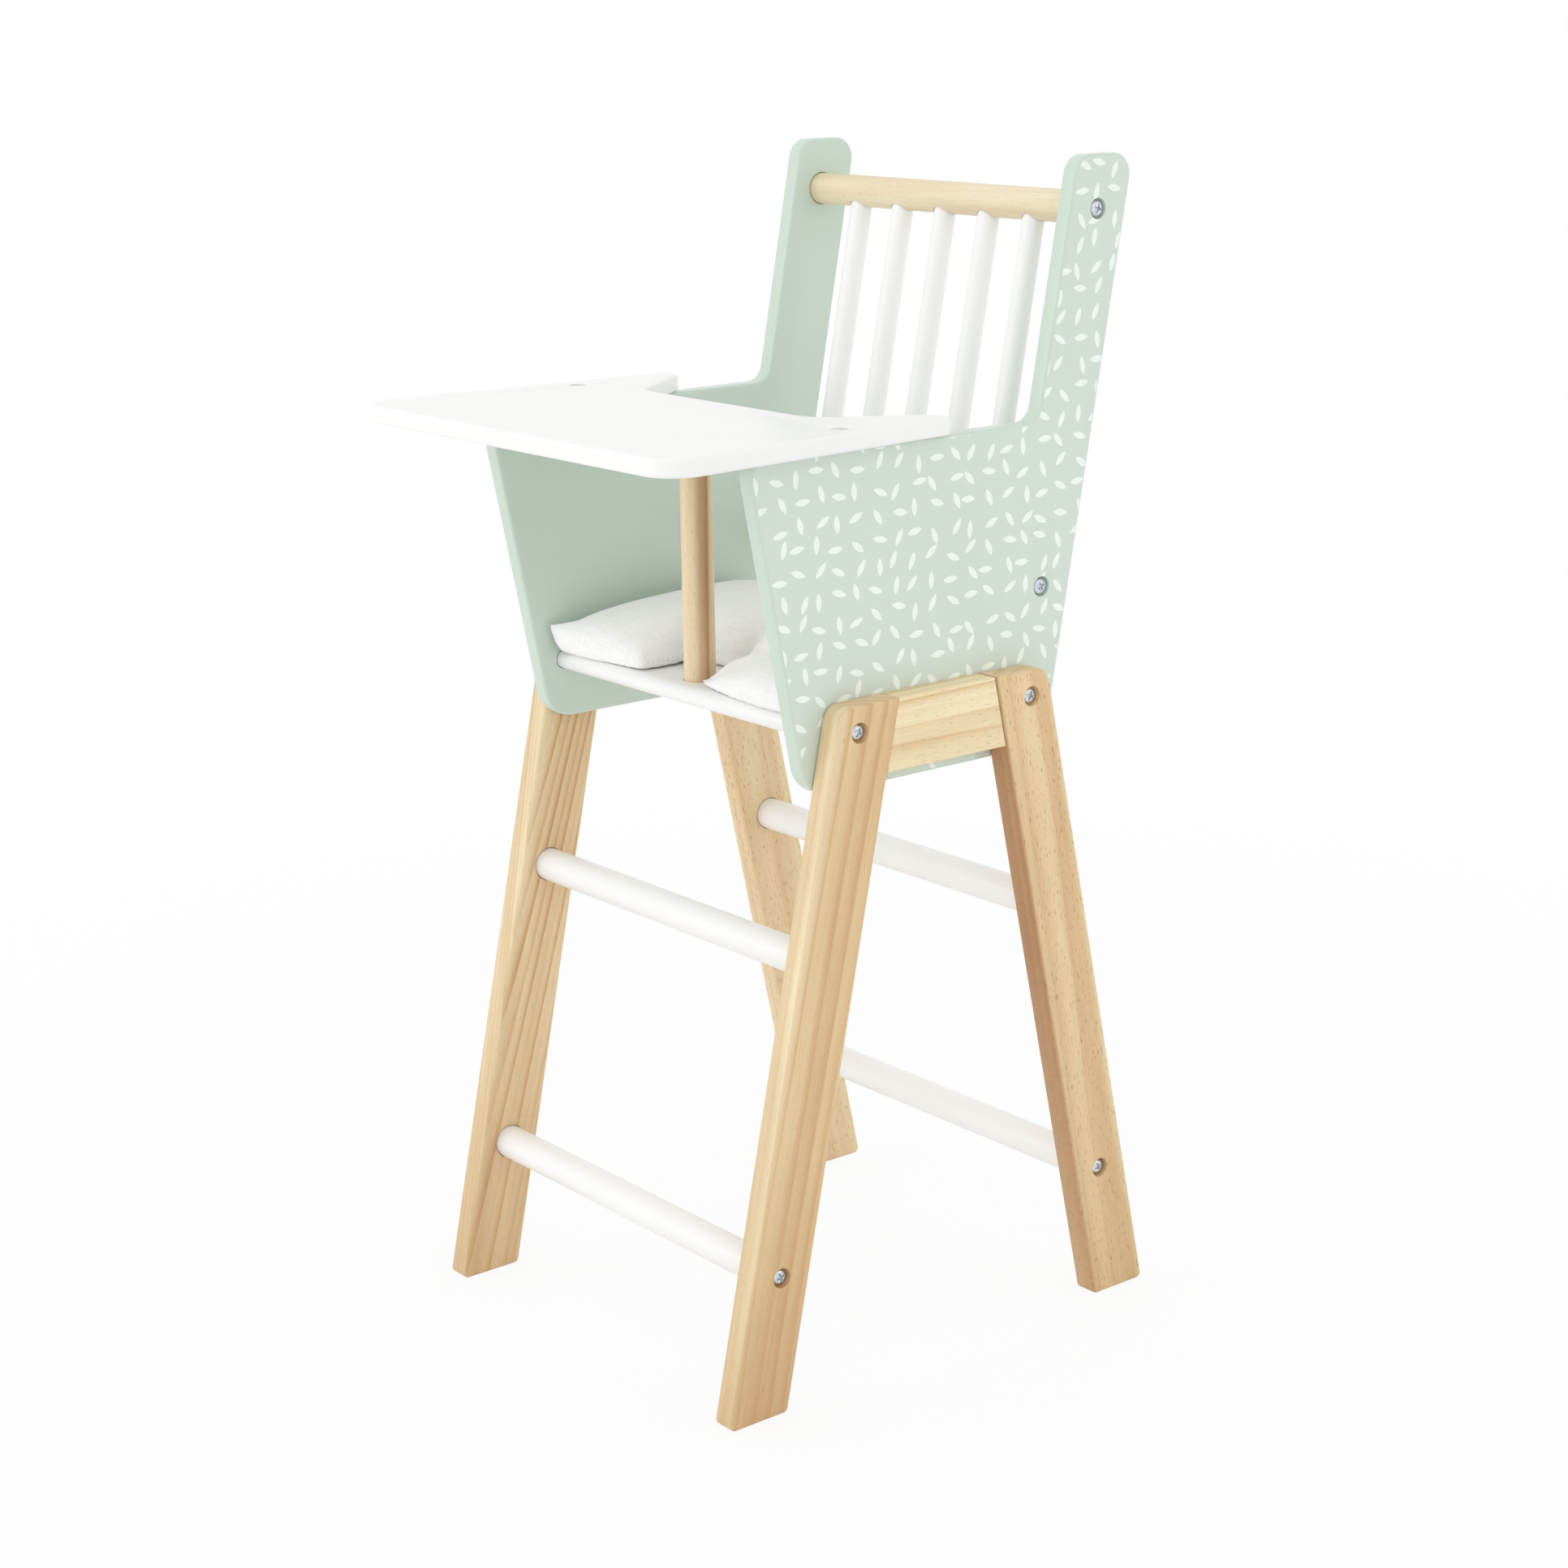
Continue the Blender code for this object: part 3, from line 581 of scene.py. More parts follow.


# The front legs get no painted shade on their far narrow face.
noFarEdgeShade = {"coreFrom": 60, "coreTo": 62}
# The front legs and the rear right leg are darkened towards their feet by a painted shade.
frontPine = makeWood("lacqueredPine", ringPitch=6.0, lateShare=0.95, butt="E9DED2", **noFarEdgeShade)
fineRingPine = makeWood(
    "lacqueredFineRingPine", heart="F4DDB4", ringPitch=3.0, lateShare=1.2, butt="E9DED2", **noFarEdgeShade
)
palePine = makeWood("lacqueredPalePine", heart="F4DDB4", fleckShare=0.75)
fleckedPine = makeWood("lacqueredFleckedPine", fleckShare=0.75, butt="EEE6DD")
railPine = makeWood(
    "paleLacqueredPine", sap="FDEDC4", heart="FDEDC4", late="E0BC86",
    ringPitch=4.2, lateShare=1.0, fibreShare=0.08, fleckShare=0.35,
)
dowelWood = makeWood(
    "lacqueredBirchDowel", sap="F3E5C6", heart="F3E5C6", late="E1C69B",
    ringPitch=3.0, lateShare=0.8, fibreShare=0.06,
)
# The post's wide dark rings, set by its pith, are partly its own late wood and partly painted shade on the
# side away from the key light.
postWood = makeWood(
    "lacqueredAlderDowel", sap="F8E3BF", heart="F8E3BF", late="C1946A",
    ringPitch=15.0, lateShare=1.3, fibreShare=0.08, fleckShare=0.3,
)
whitePaint = makePaint("whiteSprayedPaint", "F8F8F7", 0.38, 2.2)
mintPaint = makeMintPaint("mintPaintedFibreboard", "CEDED1", 0.26)
zinc = makeZinc("brightZincPlate")
cotton = makeCotton("plainWovenCotton")
cottonThread = makePaint("twistedCottonThread", "EDEDEA", 0.85, 0.5)
beechPins = makePlainWood("turnedBeechPins", "E3CBA0", "CDAE7E")
print("materials made")


def setGrain(piece, pith, along, across=(1, 0, 0)):
    # Each point's place in the tree, as makeWood takes it.
    y = Vector(along).normalized()
    x = Vector(across)
    x = (x - x.project(y)).normalized()
    z = x.cross(y)
    offset = readVectors(piece.data.vertices) / mm - (0, standMiddle, 0) - np.array(pith)
    storeVectors(piece.data, "grain", offset @ np.array([x, y, z]).T)


def fitOut(piece, node, material, body="chair"):
    piece.data.materials.clear()
    piece.data.materials.append(material)
    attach(piece, body)
    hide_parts(node)


# Side panels


def makePanel(sideName, side):
    rearTop = panelEdge(panel["top"])
    corners = [
        (-panel["bottomReach"], panel["bottom"], panel["bottomRadius"]),
        (panel["bottomReach"], panel["bottom"], panel["bottomRadius"]),
        (rearTop, panel["top"], panel["topRadius"]),
        (rearTop - panel["uprightWidth"], panel["top"], panel["topRadius"]),
        (panelEdge(panel["arm"]) - panel["uprightWidth"], panel["arm"], panel["innerRadius"]),
        (-panelEdge(panel["arm"]), panel["arm"], panel["frontRadius"]),
    ]
    low, high = sorted((side * panel["innerX"], side * panel["outerX"]))
    node = "side_panel_" + sideName
    piece = makeBoard(node, corners, low, high, 0, panel["edge"])
    inward, outward = (-side, 0, 0), (side, 0, 0)
    thickness = panel["outerX"] - panel["innerX"]
    screwHoles, cuts = [], []
    for height in back["heights"].values():
        y = uprightCentre(height)
        wide = easedHole(thickness, counterbore["panel"])
        screwHoles.append(((side * panel["outerX"], y, height), inward, wide))
        socket = socketHole(back["socket"], back["railRadius"])
        cuts.append(((side * panel["innerX"], y, height), outward, socket))
    bore(piece, screwHoles)
    for end in (-1, 1):
        start = (side * (panel["outerX"] + fit["through"]), end * seatScrewY, seat["middle"])
        through = [(t, counterbore["shank"]) for t in (0, thickness + 2 * fit["through"])]
        cuts.append((start, inward, through))
    bore(piece, cuts)
    pocketEnds = sorted((side * (panel["innerX"] - fit["over"]), side * (panel["innerX"] + seat["socket"])))
    pocket = makeBoard("pocket", seatCorners(fit["wood"]), *pocketEnds, 0, 0.01, 1)
    carve(piece, pocket)
    fitOut(piece, node, mintPaint)


def seatCorners(extra):
    half = seat["thickness"] / 2 + extra
    reach = seat["reach"] + extra
    nose = half - 0.02
    low, high = seat["middle"] - half, seat["middle"] + half
    return [(-reach, low, nose), (reach, low, nose), (reach, high, nose), (-reach, high, nose)]


for sideName, side in sideSigns.items():
    makePanel(sideName, side)
print("panels made")


# Stand


def legEdge(end):
    # The long edges are well rounded, but nearly square where the rail meets the leg.
    def radius(outline):
        y, z = outline.T
        inward = legCentre(z) - end * y
        start = stand["height"] - stand["railHeight"]
        across, along = stand["edgeChange"]
        joint = np.clip((z - start) / along + 0.5, 0, 1) * np.clip((inward - legHalf / 2) / across, 0, 1)
        return stand["edgeRadius"] + (stand["jointEdgeRadius"] - stand["edgeRadius"]) * joint

    return radius


legStock = {
    # Each leg's wood and where the leg lay in its tree: how far the pith is outside the broad face
    # and along it, in millimetres, and how far the trunk's axis leans against the leg, in degrees.
    "front_right": (frontPine, 30, 29.8, 0.62, 0.4),
    "rear_right": (fleckedPine, 44, 29, 0, 0.5),
    "front_left": (fineRingPine, -58, 30, 0.8, -3.2),
    "rear_left": (palePine, 52, 26, 0.1, -0.6),
}


def makeLeg(sideName, side, endName, end):
    foot, top = end * stand["footSpread"], end * stand["topSpread"]
    corners = [
        (foot - end * legHalf, 0, stand["footRadius"]),
        (foot + end * legHalf, 0, stand["footRadius"]),
        (top + end * legHalf, stand["height"], stand["shoulderRadius"]),
        (top - end * legHalf, stand["height"], stand["innerTopRadius"]),
    ]
    low, high = sorted((side * stand["innerX"], side * stand["outerX"]))
    node = f"{endName}_leg_{sideName}"
    piece = makeBoard(node, corners, low, high, 0, legEdge(end))
    thickness = stand["outerX"] - stand["innerX"]
    wide = easedHole(thickness, counterbore["leg"])
    socket = socketHole(stand["rungSocket"], stand["rungRadius"])
    outer, inner = side * stand["outerX"], side * stand["innerX"]
    upper, lower = ((end * legCentre(height), height) for height in stand["rungs"].values())
    seatHole = (end * seatScrewY, seat["middle"])
    bore(piece, [((outer, *place), (-side, 0, 0), wide) for place in (lower, seatHole)])
    bore(piece, [((inner, *place), (side, 0, 0), socket) for place in (lower, upper)])
    pine, depth, sideways, lean, twist = legStock[f"{endName}_{sideName}"]
    along = (math.radians(twist), end * -legSlope + math.radians(lean), 1)
    pith = (outer + side * depth, foot + end * sideways, 0)
    setGrain(piece, pith, along)
    fitOut(piece, node, pine)


def makeStandRail(sideName, side):
    bottom = stand["height"] - stand["railHeight"]
    wide = legCentre(bottom) - legHalf - stand["railGap"]
    narrow = legCentre(stand["height"]) - legHalf - stand["railGap"]
    edge = stand["railEdge"]
    corners = [
        (-wide, bottom, edge), (wide, bottom, edge),
        (narrow, stand["height"], edge), (-narrow, stand["height"], edge),
    ]
    low, high = sorted((side * stand["innerX"], side * (stand["outerX"] - stand["railInset"])))
    node = "stand_rail_" + sideName
    piece = makeBoard(node, corners, low, high, 0, edge * 0.8, 4)
    outside, above = stand["railPith"]
    pith = (side * (stand["outerX"] + outside), 0, bottom + above)
    setGrain(piece, pith, (0.01, 1, 0.01 * side))
    fitOut(piece, node, railPine)


def makeRung(endName, end, level):
    height = stand["rungs"][level]
    half = stand["innerX"] + stand["rungSocket"] - fit["wood"]
    start = (-half, end * legCentre(height), height)
    node = f"{endName}_rung_{level}"
    piece = makeDowel(node, start, (1, 0, 0), 2 * half, stand["rungRadius"], stand["rungChamfer"])
    fitOut(piece, node, whitePaint)


for sideName, side in sideSigns.items():
    makeStandRail(sideName, side)
    for endName, end in endSigns.items():
        makeLeg(sideName, side, endName, end)
for endName, end in endSigns.items():
    for level in ("upper", "lower"):
        makeRung(endName, end, level)
print("stand made")


# Seat board and slatted back


def makeSeat():
    half = panel["innerX"] + seat["socket"] - fit["wood"]
    piece = makeBoard("seat_board", seatCorners(0), -half, half, 0, 0.3, 2, 6)
    socket = socketHole(tray["seatSocket"], tray["postRadius"], 0.2)
    bore(piece, [((0, -seatScrewY, seatTop), (0, 0, -1), socket)], 96)
    fitOut(piece, "seat_board", whitePaint)


def makeBack():
    lean = panel["lean"]
    middle = (back["count"] - 1) / 2
    places = (np.arange(back["count"]) - middle) * back["pitch"]
    for (level, height), facing in zip(back["heights"].items(), (-1, 1)):
        half = panel["innerX"] + back["socket"] - fit["wood"]
        y = uprightCentre(height)
        node = "back_rail_" + level
        radius, chamfer = back["railRadius"], back["railChamfer"]
        piece = makeDowel(node, (-half, y, height), (1, 0, 0), 2 * half, radius, chamfer)
        down = (0, facing * math.sin(lean), facing * math.cos(lean))
        hole = [(t, back["spindleRadius"] + fit["wood"]) for t in (back["floor"], radius + fit["over"])]
        bore(piece, [((x, y, height), down, hole) for x in places], 48)
        behind, above = back["railPith"]
        setGrain(piece, (0, y + behind, height + above), (1, 0.02, 0.015), (0, 1, 0))
        fitOut(piece, node, dowelWood)
    top, low = (np.array((0, uprightCentre(height), height)) for height in back["heights"].values())
    rise = np.linalg.norm(top - low)
    along = (top - low) / rise
    inset = back["floor"] + fit["wood"]
    length = rise - 2 * inset
    for i, x in enumerate(places):
        start = low + along * inset + (x, 0, 0)
        node = f"back_spindle_{i + 1}"
        piece = makeDowel(node, start, along, length, back["spindleRadius"], back["spindleChamfer"], 64)
        fitOut(piece, node, whitePaint)


makeSeat()
makeBack()
print("seat and back made")


# Tray and post


def makeTray():
    tip = tray["rearHalfWidth"] - tray["tipWidth"]
    right = [
        (tray["notchHalfWidth"], -tray["notchSetback"], tray["notchRadius"]),
        (tip, tray["rearReach"], tray["tipRadius"]),
        (tray["rearHalfWidth"], tray["rearReach"], tray["tipRadius"]),
        (tray["frontHalfWidth"], -tray["frontReach"], tray["frontRadius"]),
    ]
    corners = right + [(-x, y, radius) for x, y, radius in reversed(right)]
    piece = makeBoard("tray", corners, tray["bottom"], tray["top"], 2, tray["edge"], 6, 5)
    screwX = (panel["innerX"] + panel["outerX"]) / 2
    thickness = tray["top"] - tray["bottom"]
    profile = easedHole(thickness, counterbore["tray"], tray["screwRadius"])
    starts = [(side * screwX, -tray["screwSetback"], tray["top"]) for side in (-1, 1)]
    bore(piece, [(start, (0, 0, -1), profile) for start in starts])
    socket = socketHole(tray["traySocket"], tray["postRadius"])
    bore(piece, [((0, -seatScrewY, tray["bottom"]), (0, 0, 1), socket)])
    fitOut(piece, "tray", whitePaint)


def makePost():
    foot = seatTop - tray["seatSocket"] + fit["wood"]
    head = tray["bottom"] + tray["traySocket"] - fit["wood"]
    start = (0, -seatScrewY, foot)
    piece = makeDowel("tray_post", start, (0, 0, 1), head - foot, tray["postRadius"], tray["postChamfer"])
    x, y = tray["postPith"]
    setGrain(piece, (x, y - seatScrewY, 0), (0.01, -0.01, 1))
    fitOut(piece, "tray_post", postWood)


makeTray()
makePost()
print("tray made")


# Cushion

cushion = {
    "halfWidth": 92.4,
    "rear": 56,
    "front": -68,  # the front seam's usual place
    "notchLeft": -28.5,
    "notchRight": 12.5,
    "notchRear": -36.5,
    "cell": 2.4,
    "height": 18.6,
    "swell": 1.6,
    "seamHeight": 2.4,
    "sideRoll": 9,
    "frontRoll": 15,
    "rearRoll": 15,
    "notchRoll": 11,
    "underRoll": 7,
    "drawIn": 2.2,
    "movementCap": 5,
    "sharpReach": 26,
    "steps": 20,
    "cloth": {
        "quality": 6,
        "mass": 0.15,
        "tension_stiffness": 12,
        "compression_stiffness": 12,
        "shear_stiffness": 4,
        "bending_stiffness": 0.25,
        "shrink_min": -0.03,
        "use_pressure": True,
        "uniform_pressure_force": 4,
    },
    "seamDepth": 0.55,
    "puckerDepth": 0.12,
    "puckerPitches": (7.3, 4.6),
    "pinchBase": 3,
    "puckerFrom": 2.5,
    "puckerFade": 3.0,
    "foldBase": 3,
    "foldRise": 9,
    "stitch": {
        "pitch": 2.8,
        "middle": -50,  # the filling hole's place along the notch, and half its length
        "reach": 13,
        "thread": 0.24,
        "rise": 0.95,
        "slant": 0.45,
        "bow": 0.85,
        "sink": 0.55,
    },
    # The front seam seen from above, as places across and how far forward it lies there.
    "frontSeam": [
        (-92.4, 74), (-85, 71.5), (-60, 69.2), (-42, 68.4), (-33, 66.3), (-28.5, 62.5),
        (12.5, 61.5), (20, 64.6), (32, 68), (45, 69.6), (80, 69.6), (92.4, 69),
    ],
    # Each corner's place, how far its point lifts off the seat, and how fast that fades.
    "corners": [
        (-92.4, -74, 14.8, 11), (-28.5, -62.5, 1.4, 9), (12.5, -61.5, 1.4, 9),
        (92.4, -69, 3.5, 10), (92.4, 56, 3.5, 10), (-92.4, 56, 3.5, 10),
    ],
    # Where the filling thins to a point: the place, how much of the height goes, and how far along x
    # and y that fades.
    "pinches": [(11, -61, 1.3, 30, 14), (-28.5, -62.5, 0.25, 6, 6), (-92.4, -60, 0.25, 9, 6)],
    # Each fold's two ends, its depth, negative for a ridge, and its width.
    "folds": [
        (4, -44, 60, -38, 8.5, 4.4), (13, -32, 52, -26, -3.0, 7), (12, -36, -66, 12, -1.4, 15),
        (-30, -36, -62, -14, 1.3, 9), (-10, 6, 44, 30, 0.8, 16), (-50, -58, -80, -46, 1.0, 8),
    ],
}


def cushionGrid():
    # The places of the cover's grid lines, which follow the notch, and which cells hold cloth.
    def spaced(low, high):
        return np.linspace(low, high, round((high - low) / cushion["cell"]) + 1)

    lines = [-cushion["halfWidth"], cushion["notchLeft"], cushion["notchRight"], cushion["halfWidth"]]
    parts = [spaced(low, high) for low, high in zip(lines, lines[1:])]
    across = np.concatenate([parts[0], parts[1][1:], parts[2][1:]])
    front = round((cushion["notchRear"] - cushion["front"]) / cushion["cell"])
    behind = spaced(cushion["notchRear"], cushion["rear"])
    cells = np.ones((len(across) - 1, front + len(behind) - 1), bool)
    notch = slice(len(parts[0]) - 1, len(parts[0]) + len(parts[1]) - 2)
    cells[notch, :front] = False
    x = np.repeat(across[:, None], front + len(behind), 1)
    seam = -np.interp(across, *np.array(cushion["frontSeam"]).T)[:, None]
    y = seam + (cushion["notchRear"] - seam) * np.linspace(0, 1, front + 1)
    y = np.concatenate([y, np.repeat(behind[None, 1:], len(across), 0)], 1)
    return x, y, cells


def foldDepth(x, y):
    # A fold is a groove along a line: depth times e to the minus (distance / width)^2.
    total = np.zeros_like(x)
    for x0, y0, x1, y1, depth, width in cushion["folds"]:
        along = np.array([x1 - x0, y1 - y0], float)
        t = np.clip(((x - x0) * along[0] + (y - y0) * along[1]) / (along @ along), 0, 1)
        distance = np.hypot(x - x0 - t * along[0], y - y0 - t * along[1])
        total += depth * (1 - 0.75 * t) * np.exp(-((distance / width) ** 2))
    return total


def makeCover():
    # Two sheets meet at the seam. Shares s of the way in from each side, over its own roll, join as
    # (sum of s^-4)^(-1/4). The upper sheet is seam + (top - seam)*(1 - (1 - s)^2)^(1/2) high, and the
    # lower one drops from the seam to the seat in the same way over a shorter roll.
    x, y, cells = cushionGrid()
    seamLine = -np.interp(x, *np.array(cushion["frontSeam"]).T)
    beside = np.maximum(np.maximum(cushion["notchLeft"] - x, x - cushion["notchRight"]), 0)
    toNotch = np.hypot(beside, np.maximum(y - cushion["notchRear"], 0))
    toFront = np.where((beside > 0) | (y <= cushion["notchRear"]), y - seamLine, 1e3)
    toSide = cushion["halfWidth"] - np.abs(x)
    toRear = cushion["rear"] - y
    rims = [(toSide, "sideRoll"), (toFront, "frontRoll"), (toRear, "rearRoll"), (toNotch, "notchRoll")]
    share = sum(np.maximum(distance / cushion[roll], 1e-4) ** -4.0 for distance, roll in rims) ** -0.25
    rimDistance = np.minimum.reduce([distance for distance, roll in rims])
    share = np.where(rimDistance < 1e-6, 0, share)

    def rise(s):
        return np.sqrt(1 - (1 - np.clip(s, 0, 1)) ** 2)

    seam = np.full_like(x, cushion["seamHeight"])
    for cornerX, cornerY, lift, reach in cushion["corners"]:
        seam += lift * np.exp(-np.hypot(x - cornerX, y - cornerY) / reach)
    u = x / cushion["halfWidth"]
    v = (2 * y - cushion["rear"] - cushion["front"]) / (cushion["rear"] - cushion["front"])
    bulge = (1 - u * u) * np.clip(1 - v * v, 0, 1)
    top = cushion["height"] + cushion["swell"] * bulge
    upper = seam + (top - seam) * rise(share)
    lower = seam * (1 - rise(share * cushion["frontRoll"] / cushion["underRoll"]))
    planX = x - cushion["drawIn"] * u * np.clip(1 - v * v, 0, 1)
    planY = y - cushion["drawIn"] * np.maximum(v, 0) * (1 - u * u)

    around = np.pad(cells, 1).astype(int)
    touching = around[1:, 1:] + around[:-1, 1:] + around[1:, :-1] + around[:-1, :-1]
    used, inside = touching > 0, touching == 4
    upperIndex = np.cumsum(used).reshape(used.shape) - 1
    lowerIndex = np.where(inside, used.sum() + np.cumsum(inside).reshape(used.shape) - 1, upperIndex)
    base = seatTop + fit["cloth"]
    sheets = ((upper, used), (lower, inside))
    points = [np.stack([planX, planY, height + base], -1)[keep] for height, keep in sheets]
    i, j = np.nonzero(cells)
    ring = [(i, j), (i + 1, j), (i + 1, j + 1), (i, j + 1)]
    faces = np.concatenate([
        np.stack([upperIndex[corner] for corner in ring], -1),
        np.stack([lowerIndex[corner] for corner in ring[::-1]], -1),
    ])
    piece = makePiece("seat_cushion", np.concatenate(points), faces.tolist(), 180)
    for name, values in (
        ("cloth", np.stack([x, y, np.zeros_like(x)], -1)),
        ("rims", np.stack([toSide, np.minimum(toFront, toRear), toNotch], -1)),
    ):
        storeVectors(piece.data, name, np.concatenate([values[used], values[inside]]))
    return piece


def moveCover(mesh, points):
    # The cover lies flat where it meets the seat and the panels, and stays off the post.
    points[:, 2] = np.maximum(points[:, 2], (seatTop + fit["cloth"]) * mm)
    side = (panel["innerX"] - fit["cloth"]) * mm
    points[:, 0] = np.clip(points[:, 0], -side, side)
    post = np.array([0, standMiddle - seatScrewY]) * mm
    away = points[:, :2] - post
    distance = np.maximum(np.hypot(*away.T), 1e-6)
    room = (tray["postRadius"] + fit["post"]) * mm
    pushed = post + away * (room / distance)[:, None]
    points[:, :2] = np.where((distance < room)[:, None], pushed, points[:, :2])
    mesh.vertices.foreach_set("co", points.astype(np.float32).ravel())
    mesh.update()


def fillCover(piece):
    # Air pressure rounds the cover as wadding does. No point moves further than the cap, which
    # falls off towards the corners, so their points stay sharp.
    before = readVectors(piece.data.vertices)
    cloth = piece.modifiers.new("cover", "CLOTH")
    for key, value in cushion["cloth"].items():
        setattr(cloth.settings, key, value)
    cloth.settings.effector_weights.gravity = 0
    cloth.point_cache.frame_start = 1
    cloth.point_cache.frame_end = cushion["steps"]
    for step in range(cushion["steps"]):
        bpy.context.scene.frame_set(step + 1)
    graph = bpy.context.evaluated_depsgraph_get()
    after = readVectors(piece.evaluated_get(graph).data.vertices)
    piece.modifiers.remove(cloth)
    bpy.context.scene.frame_set(1)
    move = after - before
    flat = readVectors(piece.data.attributes["cloth"].data, "vector")
    corners = np.array(cushion["corners"])[:, :2]
    nearest = np.hypot(*(flat[:, None, :2] - corners[None]).transpose(2, 0, 1)).min(1)
    cap = cushion["movementCap"] * mm * np.clip(nearest / cushion["sharpReach"], 0.05, 1)
    length = np.maximum(np.linalg.norm(move, axis=1), 1e-9)
    move *= np.minimum(1, cap / length)[:, None]
    moveCover(piece.data, before + move)


def sewCover(piece):
    # After one subdivision the seam is a groove, e to the minus d^2 deep at d from it, and the cloth
    # beside it puckers as two sines of unlike pitch that fade over 6 mm.
    smooth = piece.modifiers.new("smooth", "SUBSURF")
    smooth.levels = smooth.render_levels = 1
    settle(piece, 180)
    mesh = piece.data
    points = readVectors(mesh.vertices)
    normals = readVectors(mesh.vertices, "normal")
    flat = readVectors(mesh.attributes["cloth"].data, "vector")
    rims = readVectors(mesh.attributes["rims"].data, "vector")
    nearest = rims.min(1)
    along = [flat[:, 1], flat[:, 0], flat[:, 0] + flat[:, 1]]
    pucker = np.zeros(len(points))
    longPitch, shortPitch = cushion["puckerPitches"]
    for distance, place in zip(rims.T, along):
        wave = np.sin(place * 2 * math.pi / longPitch) + 0.7 * np.sin(place * 2 * math.pi / shortPitch + 1.3)
        pucker += wave * np.exp(-(((distance - cushion["puckerFrom"]) / cushion["puckerFade"]) ** 2))
    groove = np.exp(-(nearest**2))
    points += normals * ((cushion["puckerDepth"] * pucker - cushion["seamDepth"] * groove) * mm)[:, None]
    height = points[:, 2] / mm - seatTop
    share = np.clip((height - cushion["foldBase"]) / cushion["foldRise"], 0, 1)
    height -= foldDepth(flat[:, 0], flat[:, 1]) * share
    for x, y, share, reachX, reachY in cushion["pinches"]:
        distance = np.hypot((flat[:, 0] - x) / reachX, (flat[:, 1] - y) / reachY)
        lost = np.minimum(share * np.exp(-distance), 1)
        above = np.maximum(height - cushion["pinchBase"], 0)
        height = height - above * lost
    points[:, 2] = (height + seatTop) * mm
    moveCover(mesh, points)


def makeStitches(piece):
    # The filling hole is closed by hand along the notch: short slanted threads over the seam.
    mesh, stitch = piece.data, cushion["stitch"]
    points = readVectors(mesh.vertices) / mm - (0, standMiddle, 0)
    flat = readVectors(mesh.attributes["cloth"].data, "vector")
    onWall = np.abs(flat[:, 0] - cushion["notchLeft"]) < 0.01
    onWall &= np.abs(flat[:, 1] - stitch["middle"]) < stitch["reach"]
    onWall &= readVectors(mesh.attributes["rims"].data, "vector")[:, 2] < 0.01
    wall = points[onWall]
    wall = wall[np.argsort(wall[:, 1])]
    places = np.arange(wall[0, 1] + 2, wall[-1, 1] - 3, stitch["pitch"])
    t = np.linspace(-1, 1, 7)
    a = np.arange(8) * math.pi / 4
    threads, faces = [], []
    for y in places:
        x, z = (np.interp(y, wall[:, 1], wall[:, side]) for side in (0, 2))
        x = x - stitch["sink"] + stitch["bow"] * np.cos(t * 1.3)
        path = np.stack([x, y + stitch["slant"] * t, z + stitch["rise"] * t], -1)
        radius = stitch["thread"] * np.sqrt(np.clip(1 - t**6, 0.05, 1))
        ring = np.stack([np.cos(a), np.sin(a), np.zeros(8)], -1)
        faces += tubeFaces(len(t), len(a), len(threads) * len(t) * len(a))
        threads.append((path[:, None] + radius[:, None, None] * ring).reshape(-1, 3))
    stitches = makePiece("cushionStitches", np.concatenate(threads), faces, 60)
    stitches.data.materials.append(cottonThread)
    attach(stitches, "cushion")


def makeCushion():
    piece = makeCover()
    fillCover(piece)
    sewCover(piece)
    makeStitches(piece)
    fitOut(piece, "seat_cushion", cotton, "cushion")


makeCushion()
print("cushion made")


# Screws

screw = {
    "headRadius": 4.1,
    "headHeight": 2.6,
    "shank": 1.9,
    "tip": 0.4,
    "tipLength": 4,
    "arm": 2.15,
    "armWidth": 0.5,
    "recess": 1.3,
    "recessLip": 0.16,
    "recessWall": 0.5,
}


def makeScrew(node, seatPlace, inward, length, turn):
    # Pan head: height H*(1 - s^2.6)^(1/2) at s, the share of the head's radius. The cross recess
    # sinks it by a smooth step of the distance to a cross with two bars.
    sides, rings = 120, 46
    s = np.sin(np.radians(np.linspace(0, 90, rings)))[1:, None]
    a = (np.arange(sides) * 2 * math.pi / sides)[None]
    x, y = screw["headRadius"] * s * np.cos(a), screw["headRadius"] * s * np.sin(a)
    bars = []
    for p, q in ((x, y), (y, x)):
        taper = screw["armWidth"] * (1.15 - 0.35 * np.abs(p) / screw["arm"])
        bars.append(np.maximum(np.abs(p) - screw["arm"], np.abs(q) - taper))
    distance = np.minimum(*bars)
    sunk = np.clip((screw["recessLip"] - distance) / screw["recessWall"], 0, 1)
    sunk = sunk * sunk * (3 - 2 * sunk) * screw["recess"]
    z = screw["headHeight"] * np.sqrt(np.clip(1 - s**2.6, 0, 1)) - sunk
    head = np.stack([x, y, np.broadcast_to(z, x.shape)], -1)
    shank = screw["shank"]
    shape = [(0, shank), (-(length - screw["tipLength"]), shank), (-length, screw["tip"])]
    lower = [np.stack([r * np.cos(a[0]), r * np.sin(a[0]), np.full(sides, t)], -1) for t, r in shape]
    count = sides * (rings - 1 + len(shape))
    top = (0, 0, screw["headHeight"] - screw["recess"])
    points = np.concatenate([head.reshape(-1, 3), *lower, [top]])
    faces = gridQuads(count // sides, sides).tolist()
    i = np.arange(sides)
    faces += np.stack([i, (i + 1) % sides, np.full(sides, count)], -1).tolist()
    faces.append(list(range(count - sides, count)))
    frameTurn = Vector(inward).to_track_quat("-Z", "Y").to_matrix() @ Matrix.Rotation(turn, 3, "Z")
    points = points @ np.array(frameTurn).T + np.array(seatPlace)
    piece = makePiece(node, points, faces, 40)
    fitOut(piece, node, zinc)


def screwLength(node, axis):
    low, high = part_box(node)
    return (high[axis] - low[axis]) / mm - screw["headHeight"]


